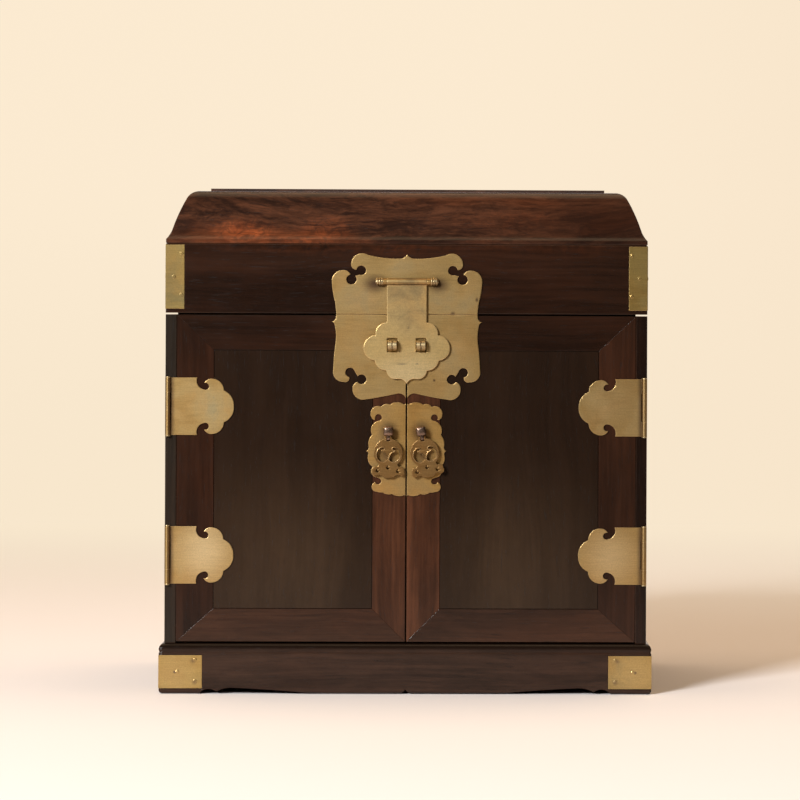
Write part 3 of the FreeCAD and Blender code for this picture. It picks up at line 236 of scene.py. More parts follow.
def vectors(tree, operation, *values, scale=None):
    made = tree_node(tree, "ShaderNodeVectorMath", operation=operation)
    for socket, value in zip(made.inputs, values):
        feed(tree, socket, value)
    if scale is not None:
        feed(tree, made.inputs["Scale"], scale)
    return made.outputs["Value"] if operation in ("LENGTH", "DOT_PRODUCT") else made.outputs[0]


def ramp(tree, factor, low, high):
    """0 below low, 1 above high, and a smooth rise between them."""
    made = tree_node(tree, "ShaderNodeMapRange",
                     {"Value": factor, "From Min": low, "From Max": high},
                     interpolation_type="SMOOTHSTEP")
    return made.outputs["Result"]


def blended(tree, factor, first, second):
    """The first colour at factor 0, the second at factor 1."""
    made = tree_node(tree, "ShaderNodeMix", data_type="RGBA")
    for index, value in ((0, factor), (6, first), (7, second)):
        feed(tree, made.inputs[index], value)
    return made.outputs[2]


def noise(tree, vector, scale, detail, rough, distortion=0.0, gives="Fac"):
    made = tree_node(tree, "ShaderNodeTexNoise",
                     {"Vector": vector, "Scale": scale, "Detail": detail,
                      "Roughness": rough, "Distortion": distortion})
    return made.outputs[gives]


def mapped(tree, vector, **how):
    return tree_node(tree, "ShaderNodeMapping", {"Vector": vector, **how}).outputs["Vector"]


print("short tools: maths, times, vectors, ramp, blended, noise, mapped")

# %% [markdown]
# ## Edges softened by hands
# No edge on an old chest is sharp: years of hands and cloths have rounded and rubbed it.
# The Bevel node gives the normal of an edge that is rounded by a small radius. Where
# that normal leaves the true one there is an edge, and that makes a mask. Noise breaks
# the mask up a little, because nobody rubs an edge evenly.

# %% Edge group
EDGE_BREAKS = 0.35

edges, edge_in, edge_out = new_group("rubbed_edges", {"Radius": FLOAT},
                                     {"Mask": FLOAT, "Normal": VECTOR})
rounded = tree_node(edges, "ShaderNodeBevel", {"Radius": edge_in["Radius"]}, samples=6)
true_normal = tree_node(edges, "ShaderNodeNewGeometry")
likeness = vectors(edges, "DOT_PRODUCT", rounded.outputs["Normal"],
                   true_normal.outputs["Normal"])
edge_amount = ramp(edges, maths(edges, "SUBTRACT", 1.0, likeness), 0.005, 0.16)
place = tree_node(edges, "ShaderNodeTexCoord").outputs["Object"]
patchy = ramp(edges, noise(edges, place, 90, 3, 0.6), 0.38, 0.62)
keep = times_plus(edges, maths(edges, "SUBTRACT", patchy, 1), EDGE_BREAKS, 1)
edges.links.new(times(edges, edge_amount, keep), edge_out["Mask"])
edges.links.new(rounded.outputs["Normal"], edge_out["Normal"])
print("edge group:", len(edges.nodes), "nodes")

# %% [markdown]
# ## A spot that fades out
# Stains, rubs and glows sit at fixed places on the chest. This group is 1 at a centre
# and fades to 0 at the radii, so it makes a soft blot of any length. `spot_mask` lays
# several together, and `marks` lists those that lie on one face, in metres.

# %% Spot group
spots, spot_in, spot_out = new_group(
    "soft_spot", {"Vector": VECTOR, "Centre": VECTOR, "Radii": VECTOR}, {"Mask": FLOAT})
reach = vectors(spots, "SUBTRACT", spot_in["Vector"], spot_in["Centre"])
reach = vectors(spots, "LENGTH", vectors(spots, "DIVIDE", reach, spot_in["Radii"]))
spots.links.new(maths(spots, "SUBTRACT", 1.0, ramp(spots, reach, 0.0, 1.0)),
                spot_out["Mask"])


def spot_mask(tree, vector, blots):
    """The strongest of several soft spots: each a centre, radii and a strength."""
    mask = 0.0
    for centre, radii, strength in blots:
        spot = group_node(tree, spots, Vector=vector, Centre=centre, Radii=radii)
        here = times(tree, spot.outputs["Mask"], strength)
        mask = maths(tree, "MAXIMUM", here, mask)
    return mask


def marks(y, depth, *places):
    """Spots at one depth: each an x and z, a reach along both, and a strength."""
    return tuple(((x, y, z), (wide, depth, high), strength)
                 for x, z, wide, high, strength in places)


print("spot group:", len(spots.nodes), "nodes")

# %% [markdown]
# ## Rosewood
# The wood is close to black, with brown and fox-red bands that show where light falls
# on it. The grain runs along X inside this group. First come the bends of the grain: a
# slow noise pushes the position to and fro, a finer one adds a ripple, and every line
# that is drawn with the pushed position bends with it.

# %% Bends of the grain
wood, wood_in, wood_out = new_group(
    "rosewood_figure",
    {"Vector": VECTOR, "Dark": COLOUR, "Brown": COLOUR, "Red": COLOUR, "Flame": FLOAT,
     "Redness": FLOAT, "Wander": FLOAT, "Ripple": FLOAT, "Streaks": FLOAT},
    {"Color": COLOUR, "Gloss": FLOAT, "Height": FLOAT})


def pushed(vector, stretch, amount):
    """Push a position to and fro by noise, up to half of amount either way."""
    push = noise(wood, mapped(wood, vector, Scale=stretch), 1.0, 2.0, 0.5, gives="Color")
    push = vectors(wood, "SUBTRACT", push, (0.5, 0.5, 0.5))
    return vectors(wood, "ADD", vector, vectors(wood, "SCALE", push, scale=amount))


wavy = pushed(wood_in["Vector"], (7, 16, 16), wood_in["Wander"])
wavy = pushed(wavy, (45, 80, 80), wood_in["Ripple"])
print("bends of the grain:", len(wood.nodes), "nodes")

# %% [markdown]
# ### The figure
# Six noises are drawn out along the grain: broad bands, a rolling flame with fine curls
# in it, streaks, dark pores a centimetre long, and clouds that turn the wood red. The
# larger its numbers along and across the grain, the finer a noise is.

# %% Lines of the figure
GRAIN_LINES = {  # stretch, detail, roughness, distortion
    "bands": ((2.2, 48, 48), 5, 0.62, 0),
    "flame": ((14, 52, 52), 8, 0.68, 1.6),
    "curls": ((46, 240, 240), 6, 0.72, 2.6),
    "streaks": ((10, 420, 420), 3, 0.6, 0),
    "pores": ((75, 1500, 1500), 2, 0.5, 0),
    "cloud": ((6, 22, 22), 3, 0.55, 0),
}
CURLS_IN_FLAME = 0.35
grain_line = {name: noise(wood, mapped(wood, wavy, Scale=stretch), 1.0, *look)
              for name, (stretch, *look) in GRAIN_LINES.items()}
rolling = times_plus(wood, grain_line["curls"], CURLS_IN_FLAME,
                     times(wood, grain_line["flame"], 1 - CURLS_IN_FLAME))
figure = tree_node(wood, "ShaderNodeMix",
                   {"Factor": wood_in["Flame"],
                    "A": ramp(wood, grain_line["bands"], 0.36, 0.66),
                    "B": ramp(wood, rolling, 0.41, 0.61)})
print("lines of the figure:", list(grain_line))

# %% [markdown]
# ### The colour
# The figure runs from the dark colour to the brown one, and the clouds lay the red over
# both. Streaks darken and lighten it. Pores are nearly black, a little duller than the
# polish round them, and sunk below it.

# %% Colour of the wood
PORE_BLACK = (0.004, 0.002, 0.0015, 1)
PORE_DEPTH = 0.55
PORE_DULLNESS = 0.1

wood_colour = blended(wood, figure.outputs["Result"], wood_in["Dark"], wood_in["Brown"])
red_amount = times(wood, ramp(wood, grain_line["cloud"], 0.44, 0.68), wood_in["Redness"])
wood_colour = blended(wood, red_amount, wood_colour, wood_in["Red"])
streak_shade = maths(wood, "SUBTRACT", ramp(wood, grain_line["streaks"], 0.3, 0.7), 0.5)
streak_shade = times_plus(wood, streak_shade, wood_in["Streaks"], 1.0)
wood_colour = vectors(wood, "SCALE", wood_colour, scale=streak_shade)
pore_mask = ramp(wood, grain_line["pores"], 0.6, 0.72)
wood_colour = blended(wood, times(wood, pore_mask, PORE_DEPTH), wood_colour, PORE_BLACK)
wood.links.new(wood_colour, wood_out["Color"])
wood.links.new(times(wood, pore_mask, PORE_DULLNESS), wood_out["Gloss"])
wood.links.new(maths(wood, "SUBTRACT", times(wood, grain_line["streaks"], 0.25), pore_mask),
               wood_out["Height"])
print("rosewood group:", len(wood.nodes), "nodes")

# %% [markdown]
# ## Boards cut from the same tree
# Every board gets its own material, because its grain runs its own way: up the stiles
# and panels, along the rails and walls, from front to back on the lid's sides. The
# Mapping node turns the pattern to the board and moves it by the board's seed, so that no
# two show the same figure. What a board doesn't say it takes from `PLAIN_BOARD`.

# %% One board's grain
TURN_TO_GRAIN = {"x": (0, 0, 0), "y": (0, 0, math.radians(90)), "z": (0, math.radians(90), 0)}
PLAIN_BOARD = {
    "dark": (0.0085, 0.003, 0.0014, 1), "brown": (0.02, 0.0075, 0.0038, 1),
    "red": (0.042, 0.0135, 0.006, 1), "rub": (0.075, 0.033, 0.018, 1),
    "wander": 0.012, "ripple": 0.001, "streaks": 0.38, "polish": 0.2, "radius": 0.0012,
    "tone": 1.0, "glows": (), "gain": (2.6, 2.0, 1.5), "breakup": 1.0, "dims": (),
}
GRAIN_SETTINGS = ("dark", "brown", "red", "flame", "redness", "wander", "ripple", "streaks")


def new_surface(name):
    """A new material: itself, its tree, its shader and the chest's own coordinates."""
    material = bpy.data.materials.new(name)
    material.use_nodes = True
    tree = material.node_tree
    coordinates = tree_node(tree, "ShaderNodeTexCoord").outputs["Object"]
    return material, tree, tree.nodes["Principled BSDF"], coordinates


def board_grain(tree, coordinates, along, seed, finish):
    """The rosewood group, turned to the board's grain and moved by its seed."""
    board = mapped(tree, coordinates, Rotation=TURN_TO_GRAIN[along],
                   Location=(0.37 * seed, 0.53 * seed, 0.71 * seed))
    settings = {key.capitalize(): finish[key] for key in GRAIN_SETTINGS}
    return group_node(tree, wood, Vector=board, **settings)


print("a plain board's settings:", len(PLAIN_BOARD))

# %% [markdown]
# ### Glow, shade and polish
# Some boards glow in fixed places: there the colour is multiplied by `gain`, and
# `breakup` says how patchy the glow is. On the doors' panels and the lid's front slope the
# glow is painted light; along the top of the lid's front wall it makes the wood redder.
# Some boards are dimmed in places, on the lid's front slope as painted shade. `rub` is the
# colour that a rubbed edge leans to. Polish is never quite even: pores are duller, and
# edges shine.

# %% Wood materials
RUB_SHARE = 0.4
DIM_DARKNESS = 0.6
POLISH_SPREAD = 0.12
EDGE_SHINE = -0.1
DIM_SHINE = -0.06


def lit_patches(tree, coordinates, colour, finish):
    """Multiply a colour in soft places that are broken up into patches."""
    glow = spot_mask(tree, coordinates, finish["glows"])
    patches = ramp(tree, noise(tree, coordinates, 110, 4, 0.6, 1.5), 0.3, 0.65)
    patches = times_plus(tree, maths(tree, "SUBTRACT", patches, 1), finish["breakup"], 1)
    glow = times(tree, glow, patches, clamp=True)
    return blended(tree, glow, colour, vectors(tree, "MULTIPLY", colour, finish["gain"]))


def relief(tree, shader, height, normal, strength, distance):
    """Lay a slight relief over the normal of the rounded edges."""
    bump = tree_node(tree, "ShaderNodeBump", {"Height": height, "Normal": normal,
                                              "Strength": strength, "Distance": distance})
    tree.links.new(bump.outputs["Normal"], shader.inputs["Normal"])


def wood_material(name, along, seed, **given):
    finish = {**PLAIN_BOARD, **given}
    material, tree, shader, coordinates = new_surface(name)
    grain = board_grain(tree, coordinates, along, seed, finish)
    edge = group_node(tree, edges, Radius=finish["radius"])
    dim = spot_mask(tree, coordinates, finish["dims"])
    colour = grain.outputs["Color"]
    if finish["glows"]:
        colour = lit_patches(tree, coordinates, colour, finish)
    if finish["dims"]:
        colour = blended(tree, dim, colour,
                         vectors(tree, "SCALE", finish["dark"][:3], scale=DIM_DARKNESS))
    colour = vectors(tree, "SCALE", colour, scale=finish["tone"])
    colour = blended(tree, times(tree, edge.outputs["Mask"], RUB_SHARE), colour, finish["rub"])
    tree.links.new(colour, shader.inputs["Base Color"])
    rough = times_plus(tree, noise(tree, coordinates, 55, 3, 0.6), POLISH_SPREAD,
                       finish["polish"] - POLISH_SPREAD / 2)
    rough = maths(tree, "ADD", rough, grain.outputs["Gloss"])
    rough = times_plus(tree, edge.outputs["Mask"], EDGE_SHINE, rough)
    rough = times_plus(tree, dim, DIM_SHINE, rough)
    tree.links.new(rough, shader.inputs["Roughness"])
    relief(tree, shader, grain.outputs["Height"], edge.outputs["Normal"], 0.08, 0.0003)
    shader.inputs["Specular IOR Level"].default_value = 0.2
    return material


def dress(name, material):
    slots = nodes[name].data.materials
    slots.clear()
    slots.append(material)


boards = []


def dress_board(name, along, seed, **finish):
    dress(name, wood_material(name + "_wood", along, seed, **finish))
    boards.append(name)


print("roughness of a polished board:", PLAIN_BOARD["polish"])

# %% [markdown]
# ### Case and base
# The base is a shade lighter and browner than the doors, but its bead, the rounded top
# edge, is dark and shines. The side panels are the darkest boards on the chest; the
# right one is darkened further, as painted shade.

# %% Base and case boards
SIDES = {"front": "x", "back": "x", "left": "y", "right": "y"}
BEAD_SHADE = marks(0, 4, (0, 0.037, 4, 0.0065, 1.4))
for seed, (side, way) in enumerate(SIDES.items(), start=1):
    dress_board(f"plinth_{side}_rail", way, seed, dark=(0.013, 0.006, 0.0036, 1),
                brown=(0.036, 0.0165, 0.0098, 1), flame=0.3, redness=0.3, radius=0.0025,
                rub=(0.045, 0.02, 0.011, 1), dims=BEAD_SHADE)
dress_board("left_side_panel", "z", 6, dark=(0.0125, 0.0088, 0.0062, 1),
            brown=(0.019, 0.0125, 0.0085, 1), flame=0.35, redness=0.1, polish=0.22)
# Painted shade: the right side panel is darkened to half its tone.
dress_board("right_side_panel", "z", 7, flame=0.35, redness=0.2, polish=0.22, tone=0.5)
dress_board("back_panel", "z", 8, flame=0.35, redness=0.2, polish=0.22)
print("base and case boards:", len(boards))

# %% [markdown]
# ### Doors
# Each door is a mitred frame round a broad panel. The panels' own figure is faint and
# stands upright; low down they are paler, in a wide soft glow of painted light. The
# stiles at the middle are the reddest wood of the front.

# %% Door boards
DOOR_WOOD = {"flame": 0.2, "redness": 0.35, "radius": 0.0005, "rub": (0.002, 0.001, 0.001, 1)}
PANEL = {"dark": (0.0108, 0.0048, 0.0024, 1), "brown": (0.0135, 0.0061, 0.0032, 1),
         "red": (0.021, 0.0098, 0.005, 1), "flame": 0.0, "redness": 0.3, "wander": 0.02,
         "streaks": 0.16, "gain": (2.2, 2.6, 2.7), "breakup": 0.12}
DOOR_BOARDS = {
    "top_rail": {},
    "bottom_rail": {"dark": (0.017, 0.0072, 0.004, 1), "brown": (0.036, 0.015, 0.008, 1),
                    "flame": 0.4},
    "hinge_stile": {},
    "meeting_stile": {"dark": (0.024, 0.0085, 0.004, 1), "brown": (0.07, 0.0245, 0.0112, 1),
                      "redness": 0.7},
    "panel": PANEL,
}
DOOR_TONES = {
    "left": {"top_rail": 0.95},
    "right": {"top_rail": 0.62, "hinge_stile": 1.15, "meeting_stile": 1.15, "panel": 0.92},
}
PANEL_MIDDLES = {"left": -0.084, "right": 0.092}


# Painted light: the panels paler and greener low down, as if lit from the floor.
def panel_glows(middle):
    return marks(-0.124, 0.05, (middle - 0.01, 0.09, 0.11, 0.11, 1.1),
                 (middle + 0.03, 0.055, 0.05, 0.03, 0.5))


doors = [(side, part) for side in PANEL_MIDDLES for part in DOOR_BOARDS]
for seed, (side, part) in enumerate(doors, start=12):
    way = "x" if part.endswith("rail") else "z"
    dress_board(f"{side}_door_{part}", way, seed, **{**DOOR_WOOD, **DOOR_BOARDS[part]},
                tone=DOOR_TONES[side].get(part, 1.0),
                glows=panel_glows(PANEL_MIDDLES[side]) if part == "panel" else ())
print("with the doors' boards:", len(boards))

# %% [markdown]
# ### Lid
# The lid's slopes are its show piece: a rolling flame of fox red and brown over near
# black. On the front, painted light turns the flame orange towards the left and painted
# shade darkens it towards the right, and the wall under it is red along its top. The top
# panel has a softer polish.

# %% Lid boards
FLAME_WOOD = {"dark": (0.0165, 0.0065, 0.004, 1), "brown": (0.066, 0.0235, 0.0115, 1),
              "red": (0.135, 0.036, 0.012, 1)}
# Painted light: the front slope lighter and more orange towards the left.
SLOPE_GLOWS = marks(
    -0.12, 0.04, (-0.121, 0.344, 0.034, 0.014, 1.3), (-0.06, 0.346, 0.028, 0.013, 1.1),
    (-0.09, 0.336, 0.09, 0.008, 0.7), (0.075, 0.352, 0.07, 0.012, 0.3))
# Painted shade: the front slope darker towards the right.
SLOPE_DIMS = marks(-0.12, 0.06, (0.17, 0.345, 0.17, 0.06, 0.75), (0.19, 0.345, 0.07, 0.06, 0.4))
WALL_GLOWS = marks(
    -0.127, 0.02, (-0.06, 0.335, 0.16, 0.012, 0.9), (0.1, 0.335, 0.12, 0.01, 0.5))
for seed, (side, way) in enumerate(SIDES.items(), start=31):
    front = side == "front"
    dress_board(f"lid_{side}_wall", way, seed, flame=0.2, redness=0.35,
                glows=WALL_GLOWS if front else ())
    dress_board(f"lid_{side}_slope", way, seed + 8, **FLAME_WOOD, flame=0.9, redness=0.42,
                wander=0.035, ripple=0.005, streaks=0.5,
                glows=SLOPE_GLOWS if front else (), dims=SLOPE_DIMS if front else ())
dress_board("lid_top_panel", "x", 47, **FLAME_WOOD, flame=0.7, redness=0.4, polish=0.6,
            wander=0.03)
print("with the lid's boards:", len(boards))

# %% [markdown]
# ### Inside
# The boards that nobody sees are plainer and lighter: the tray, the frame that carries
# the drawers and the drawers' sides. They are oiled, not polished.

# %% Inside boards
DRAWERS = ("upper_left_drawer", "upper_right_drawer", "lower_left_drawer",
           "lower_right_drawer")
INSIDE = ("bottom_board", "tray_floor", "tray_front_rail", "centre_divider", "drawer_frame")
for seed, name in enumerate(INSIDE + DRAWERS, start=51):
    dress_board(name, "x", seed, dark=(0.055, 0.027, 0.015, 1), brown=(0.13, 0.068, 0.036, 1),
                red=(0.16, 0.068, 0.032, 1), flame=0.35, redness=0.3, polish=0.48,
                rub=(0.24, 0.13, 0.07, 1))
print("all boards:", len(boards))

# %% [markdown]
# ## Old brass
# The plates were cut from sheet, rubbed flat and left to age. First come the patterns:
# soft clouds of a few centimetres, a finer mottle, grit, faint lines from polishing, and
# dark specks where damp has got in.

# %% Patterns of the brass
brass, brass_in, brass_out = new_group(
    "aged_brass",
    {"Vector": VECTOR, "Clean": COLOUR, "Tarnish": COLOUR, "Age": FLOAT, "Edge": FLOAT,
     "Dull": FLOAT, "Stain": FLOAT},
    {"Color": COLOUR, "Roughness": FLOAT, "Height": FLOAT})
metal_place = brass_in["Vector"]
clouds = noise(brass, metal_place, 30, 5, 0.6, 0.8)
warmth = noise(brass, vectors(brass, "ADD", metal_place, (3.1, 7.7, 5.3)), 38, 4, 0.6, 0.6)
mottle = noise(brass, metal_place, 230, 4, 0.6)
grit = noise(brass, metal_place, 1100, 3, 0.7)
lines = noise(brass, mapped(brass, metal_place, Scale=(60, 1500, 1700)), 1.0, 2, 0.6)
specks = tree_node(brass, "ShaderNodeTexVoronoi", {"Vector": metal_place, "Scale": 95.0})
speck_mask = maths(brass, "SUBTRACT", 1.0,
                   ramp(brass, specks.outputs["Distance"], 0.04, 0.12))
speck_mask = times(brass, speck_mask, ramp(brass, mottle, 0.52, 0.6))
print("patterns of the brass:", len(brass.nodes), "nodes")

# %% [markdown]
# ### Tarnish
# The brass is golden where cloths reach it and grey-brown where they don't. Clouds,
# specks and mottle add up to the tarnish; dulled places and painted shade add more, and
# rubbed edges and painted light take it away. Stains and painted shade are dark brown and
# lie over all but the brightest edges, which lean to gold: partly wear, partly a painted
# highlight. Lines and grit shade the colour a little, and tarnish is rougher than clean
# metal.

# %% Colour of the brass
COPPER_TINT = (0.9, 0.76, 0.62)
# Dark brown for stains, and for painted shade in grooves and beside the hinge barrels.
STAIN_BROWN = (0.085, 0.047, 0.026, 1)
# Edges lean to this gold: partly rubbed wear, partly a painted highlight.
EDGE_GOLD = (0.88, 0.68, 0.4, 1)
CLEAN_ROUGHNESS, TARNISH_ROUGHNESS = 0.3, 0.12

tarnished = times(brass, ramp(brass, clouds, 0.34, 0.66), brass_in["Age"])
tarnished = times_plus(brass, speck_mask, 0.6, tarnished)
tarnished = times_plus(brass, ramp(brass, mottle, 0.42, 0.75), 0.14, tarnished)
# Dull places and painted shade add tarnish.
tarnished = maths(brass, "ADD", tarnished, brass_in["Dull"])
tarnished = maths(brass, "SUBTRACT", tarnished, brass_in["Edge"], clamp=True)
brass_colour = blended(brass, tarnished, brass_in["Clean"], brass_in["Tarnish"])
copper_share = times(brass, ramp(brass, warmth, 0.42, 0.72), 0.4)
brass_colour = blended(brass, copper_share, brass_colour,
                       vectors(brass, "MULTIPLY", brass_in["Clean"], COPPER_TINT))
brass_colour = blended(brass, brass_in["Stain"], brass_colour, STAIN_BROWN)
brass_colour = blended(brass, times(brass, brass_in["Edge"], 0.45), brass_colour, EDGE_GOLD)
line_shade = times_plus(brass, ramp(brass, lines, 0.35, 0.65), 0.1, 0.95)
line_shade = times(brass, line_shade,
                   times_plus(brass, ramp(brass, grit, 0.3, 0.7), 0.22, 0.89))
brass.links.new(vectors(brass, "SCALE", brass_colour, scale=line_shade),
                brass_out["Color"])
metal_rough = times_plus(brass, tarnished, TARNISH_ROUGHNESS, CLEAN_ROUGHNESS)
brass.links.new(times_plus(brass, lines, 0.06, metal_rough), brass_out["Roughness"])
brass.links.new(times_plus(brass, lines, 0.2, clouds), brass_out["Height"])
print("brass group:", len(brass.nodes), "nodes")

# %% [markdown]
# ### A brass material
# A brass material says how clean and how tarnished metal looks on its part, how old it
# is, how much smoother it is than the plates, and where it is stained, rubbed bright or
# dulled; some of these places are painted shade and painted light.

# %% Brass material
RUB_STRENGTH = 0.6


def brass_material(name, clean, tarnish, age, seed=0.0, smoother=0.0, radius=0.0005,
                   stains=(), rubbed=(), dulled=()):
    material, tree, shader, coordinates = new_surface(name)
    place = mapped(tree, coordinates, Location=(seed, seed, 0))
    edge = group_node(tree, edges, Radius=radius)
    # Rubbed places, and places brightened as painted light.
    rub = times(tree, spot_mask(tree, coordinates, rubbed), RUB_STRENGTH)
    bright = maths(tree, "MAXIMUM", edge.outputs["Mask"], rub)
    surface = group_node(tree, brass, Vector=place, Clean=clean, Tarnish=tarnish, Age=age,
                         Edge=bright, Dull=spot_mask(tree, coordinates, dulled),
                         Stain=spot_mask(tree, coordinates, stains))
    tree.links.new(surface.outputs["Color"], shader.inputs["Base Color"])
    tree.links.new(maths(tree, "SUBTRACT", surface.outputs["Roughness"], smoother),
                   shader.inputs["Roughness"])
    shader.inputs["Metallic"].default_value = 1.0
    relief(tree, shader, surface.outputs["Height"], edge.outputs["Normal"], 0.12, 0.0002)
    return material


print("a rubbed place is bright by", RUB_STRENGTH)

# %% [markdown]
# ### Lock plates and hasp
# Brown rings have spread round the ends of the hasp's rod, where no cloth reaches, and a
# few dark spots sit on the plates. Painted light brightens the hasp's disc low down, and
# painted shade darkens its strap.

# %% Brass of the lock
ROD_RINGS = marks(
    -0.128, 0.012, (-0.024, 0.305, 0.013, 0.01, 1.0), (0.0235, 0.3045, 0.012, 0.009, 0.95))
PLATE_SPOTS = marks(
    -0.128, 0.01, (0.0342, 0.2832, 0.0028, 0.0022, 0.9), (0.0205, 0.2334, 0.0016, 0.0016, 1.0),
    (0.052, 0.2935, 0.0018, 0.0026, 1.0))
PLATE_DULL = marks(
    -0.128, 0.02, (-0.033, 0.294, 0.026, 0.02, 0.6), (0.032, 0.292, 0.03, 0.016, 0.45),
    (0, 0.318, 0.035, 0.008, 0.4), (-0.036, 0.258, 0.02, 0.022, 0.45),
    (0.034, 0.252, 0.026, 0.026, 0.5))
HASP_MARKS = marks(
    -0.13, 0.02, (-0.0035, 0.2455, 0.0055, 0.0014, 0.7), (0.0078, 0.2458, 0.0016, 0.0012, 0.7))
# Painted light: the hasp's disc brighter low down. Painted shade: its strap darker.
HASP_RUB = marks(-0.13, 0.02, (0, 0.236, 0.045, 0.027, 1.6))
STRAP_DULL = marks(-0.13, 0.02, (0, 0.296, 0.06, 0.04, 0.75))
plates = brass_material(
    "plate_brass", (0.41, 0.257, 0.096, 1), (0.212, 0.156, 0.08, 1), 0.35, radius=0.0007,
    stains=ROD_RINGS + PLATE_SPOTS, dulled=PLATE_DULL)
hasp_brass = brass_material(
    "hasp_brass", (0.59, 0.402, 0.167, 1), (0.19, 0.13, 0.062, 1), 0.5, seed=4.1,
    radius=0.0009, stains=HASP_MARKS, rubbed=HASP_RUB, dulled=STRAP_DULL)
print("stains on the lock plates:", len(ROD_RINGS + PLATE_SPOTS))

# %% [markdown]
# ### Hinges and corner mounts
# The hinges are brown along the knuckle: partly patina, where dirt stays, and partly
# painted shade beside the barrels. Painted light brightens the lower ones, and painted
# shade darkens the upper ones. The mounts are a deeper yellow, with a dark mark at each
# nail.

# %% Brass of hinges and mounts
# Brown lines beside the knuckles: partly patina, partly painted shade of the barrels.
HINGE_LINES = marks(-0.128, 0.01, *((x, z, 0.0042, 0.09, 0.9)
                                    for z in (0.2135, 0.103) for x in (-0.1752, 0.1752)))
# Painted light on the lower hinges, and a little on the upper right one.
HINGE_RUB = marks(
    -0.127, 0.02, (-0.15, 0.106, 0.03, 0.036, 1.9), (0.155, 0.216, 0.035, 0.035, 0.45),
    (0.152, 0.102, 0.03, 0.034, 1.4))
# Painted shade on the upper hinges; the long strips beside the barrels are tarnish and painted
# shade.
HINGE_DULL = marks(
    -0.127, 0.02, (-0.146, 0.2135, 0.02, 0.022, 0.7), (0.146, 0.2135, 0.018, 0.02, 0.4),
    (-0.181, 0.158, 0.005, 0.2, 1.0), (0.181, 0.158, 0.005, 0.2, 1.0))
NAILS = ((0.1713, 0.0162, 0.0015, 1.6), (0.1578, 0.0245, 0.003, 0.7),
         (0.1563, 0.0089, 0.003, 0.7))
MOUNT_NAILS = marks(-0.1315, 0.01, *((way * x, z, size, size, strength) for way in (-1, 1)
                                     for x, z, size, strength in NAILS))
MOUNT_STAIN = marks(-0.128, 0.03, (-0.176, 0.31, 0.02, 0.05, 0.3))
MOUNT_RUB = marks(
    -0.128, 0.03, (-0.172, 0.014, 0.04, 0.04, 0.6), (0.17, 0.014, 0.04, 0.04, 0.8))
MOUNT_DULL = marks(-0.128, 0.04, (-0.178, 0.311, 0.03, 0.06, 0.6))
hinge_plates = brass_material(
    "hinge_brass", (0.42, 0.262, 0.096, 1), (0.25, 0.188, 0.096, 1), 0.4, seed=1.7,
    stains=HINGE_LINES, rubbed=HINGE_RUB, dulled=HINGE_DULL)
mounts = brass_material(
    "mount_brass", (0.4, 0.262, 0.082, 1), (0.18, 0.135, 0.055, 1), 0.8, seed=3.1,
    smoother=0.03, stains=MOUNT_NAILS + MOUNT_STAIN, rubbed=MOUNT_RUB, dulled=MOUNT_DULL)
print("stained lines on the hinges:", len(HINGE_LINES))

# %% [markdown]
# ### Pulls, posts and eyes
# The pulls were cast and have gone copper-brown; the square-headed posts are darker
# still, and brown rings have spread round them on their plates. Below the posts, grime
# and painted shadow darken the plates behind the pulls' openings. Each padlock eye is
# two bands with painted shade in the groove between them.

# %% Brass of the small fittings
# Brown patina round the posts; the two lower spots behind the pulls' openings are partly grime,
# partly painted shadow.
POST_RINGS = marks(
    -0.128, 0.02, (-0.013, 0.195, 0.0105, 0.0115, 1.0),
    (0.0108, 0.195, 0.0105, 0.0115, 1.0), (-0.0137, 0.1783, 0.013, 0.012, 0.75),
    (0.0128, 0.1783, 0.013, 0.012, 0.75))
# Painted shade in the groove between each eye's two bands.
EYE_GROOVES = marks(
    -0.13, 0.02, (-0.0107, 0.2595, 0.001, 0.008, 1.3), (0.0107, 0.2595, 0.001, 0.008, 1.3))
pull_plates = brass_material(
    "pull_plate_brass", (0.41, 0.235, 0.074, 1), (0.23, 0.142, 0.056, 1), 0.8, seed=2.3,
    radius=0.0006, stains=POST_RINGS)
fittings = brass_material(
    "fitting_brass", (0.5, 0.385, 0.215, 1), (0.17, 0.125, 0.07, 1), 0.6, seed=5.3,
    smoother=0.02)
eye_brass = brass_material(
    "eye_brass", (0.52, 0.4, 0.22, 1), (0.26, 0.19, 0.1, 1), 0.6, seed=6.4, smoother=-0.02,
    stains=EYE_GROOVES)
copper = brass_material(
    "pull_brass", (0.225, 0.119, 0.04, 1), (0.135, 0.075, 0.028, 1), 0.8, seed=7.7,
    radius=0.0004)
dark_metal = brass_material(
    "post_metal", (0.27, 0.18, 0.135, 1), (0.085, 0.056, 0.042, 1), 0.6, seed=9.2,
    smoother=0.1)
print("rings round the posts:", len(POST_RINGS))

# %% [markdown]
# ### Dressing the fittings
# Every brass part of the CAD model gets its material, also those modelled again below.

# %% Dress the brass parts
BRASS_PARTS = {
    plates: ("upper_lock_plate", "left_door_lock_plate", "right_door_lock_plate"),
    hinge_plates: ("case_door_hinge_leaves", "case_lid_hinge_leaves",
                   "left_door_hinge_leaves", "right_door_hinge_leaves", "lid_hinge_leaves"),
    pull_plates: ("left_pull_plate", "right_pull_plate"),
    hasp_brass: ("hasp",),
    mounts: ("plinth_corner_mounts", "lid_corner_mounts"),
    eye_brass: ("left_padlock_eye", "right_padlock_eye"),
    fittings: ("hinge_pins", "hasp_rod", *(name + "_knob" for name in DRAWERS)),
    copper: ("left_drop_pull", "right_drop_pull"),
    dark_metal: ("left_pull_post", "right_pull_post"),
}
for material, names in BRASS_PARTS.items():
    for name in names:
        dress(name, material)
print("brass parts:", sum(len(names) for names in BRASS_PARTS.values()))

# %% [markdown]
# ### Paper
# Close to the chest the paper is lit and shaded like any paper. Farther off, where the
# picture only shows a pale wall, the camera sees a colour the wall gives off itself:
# painted light, a little paler higher up and darker to the right.

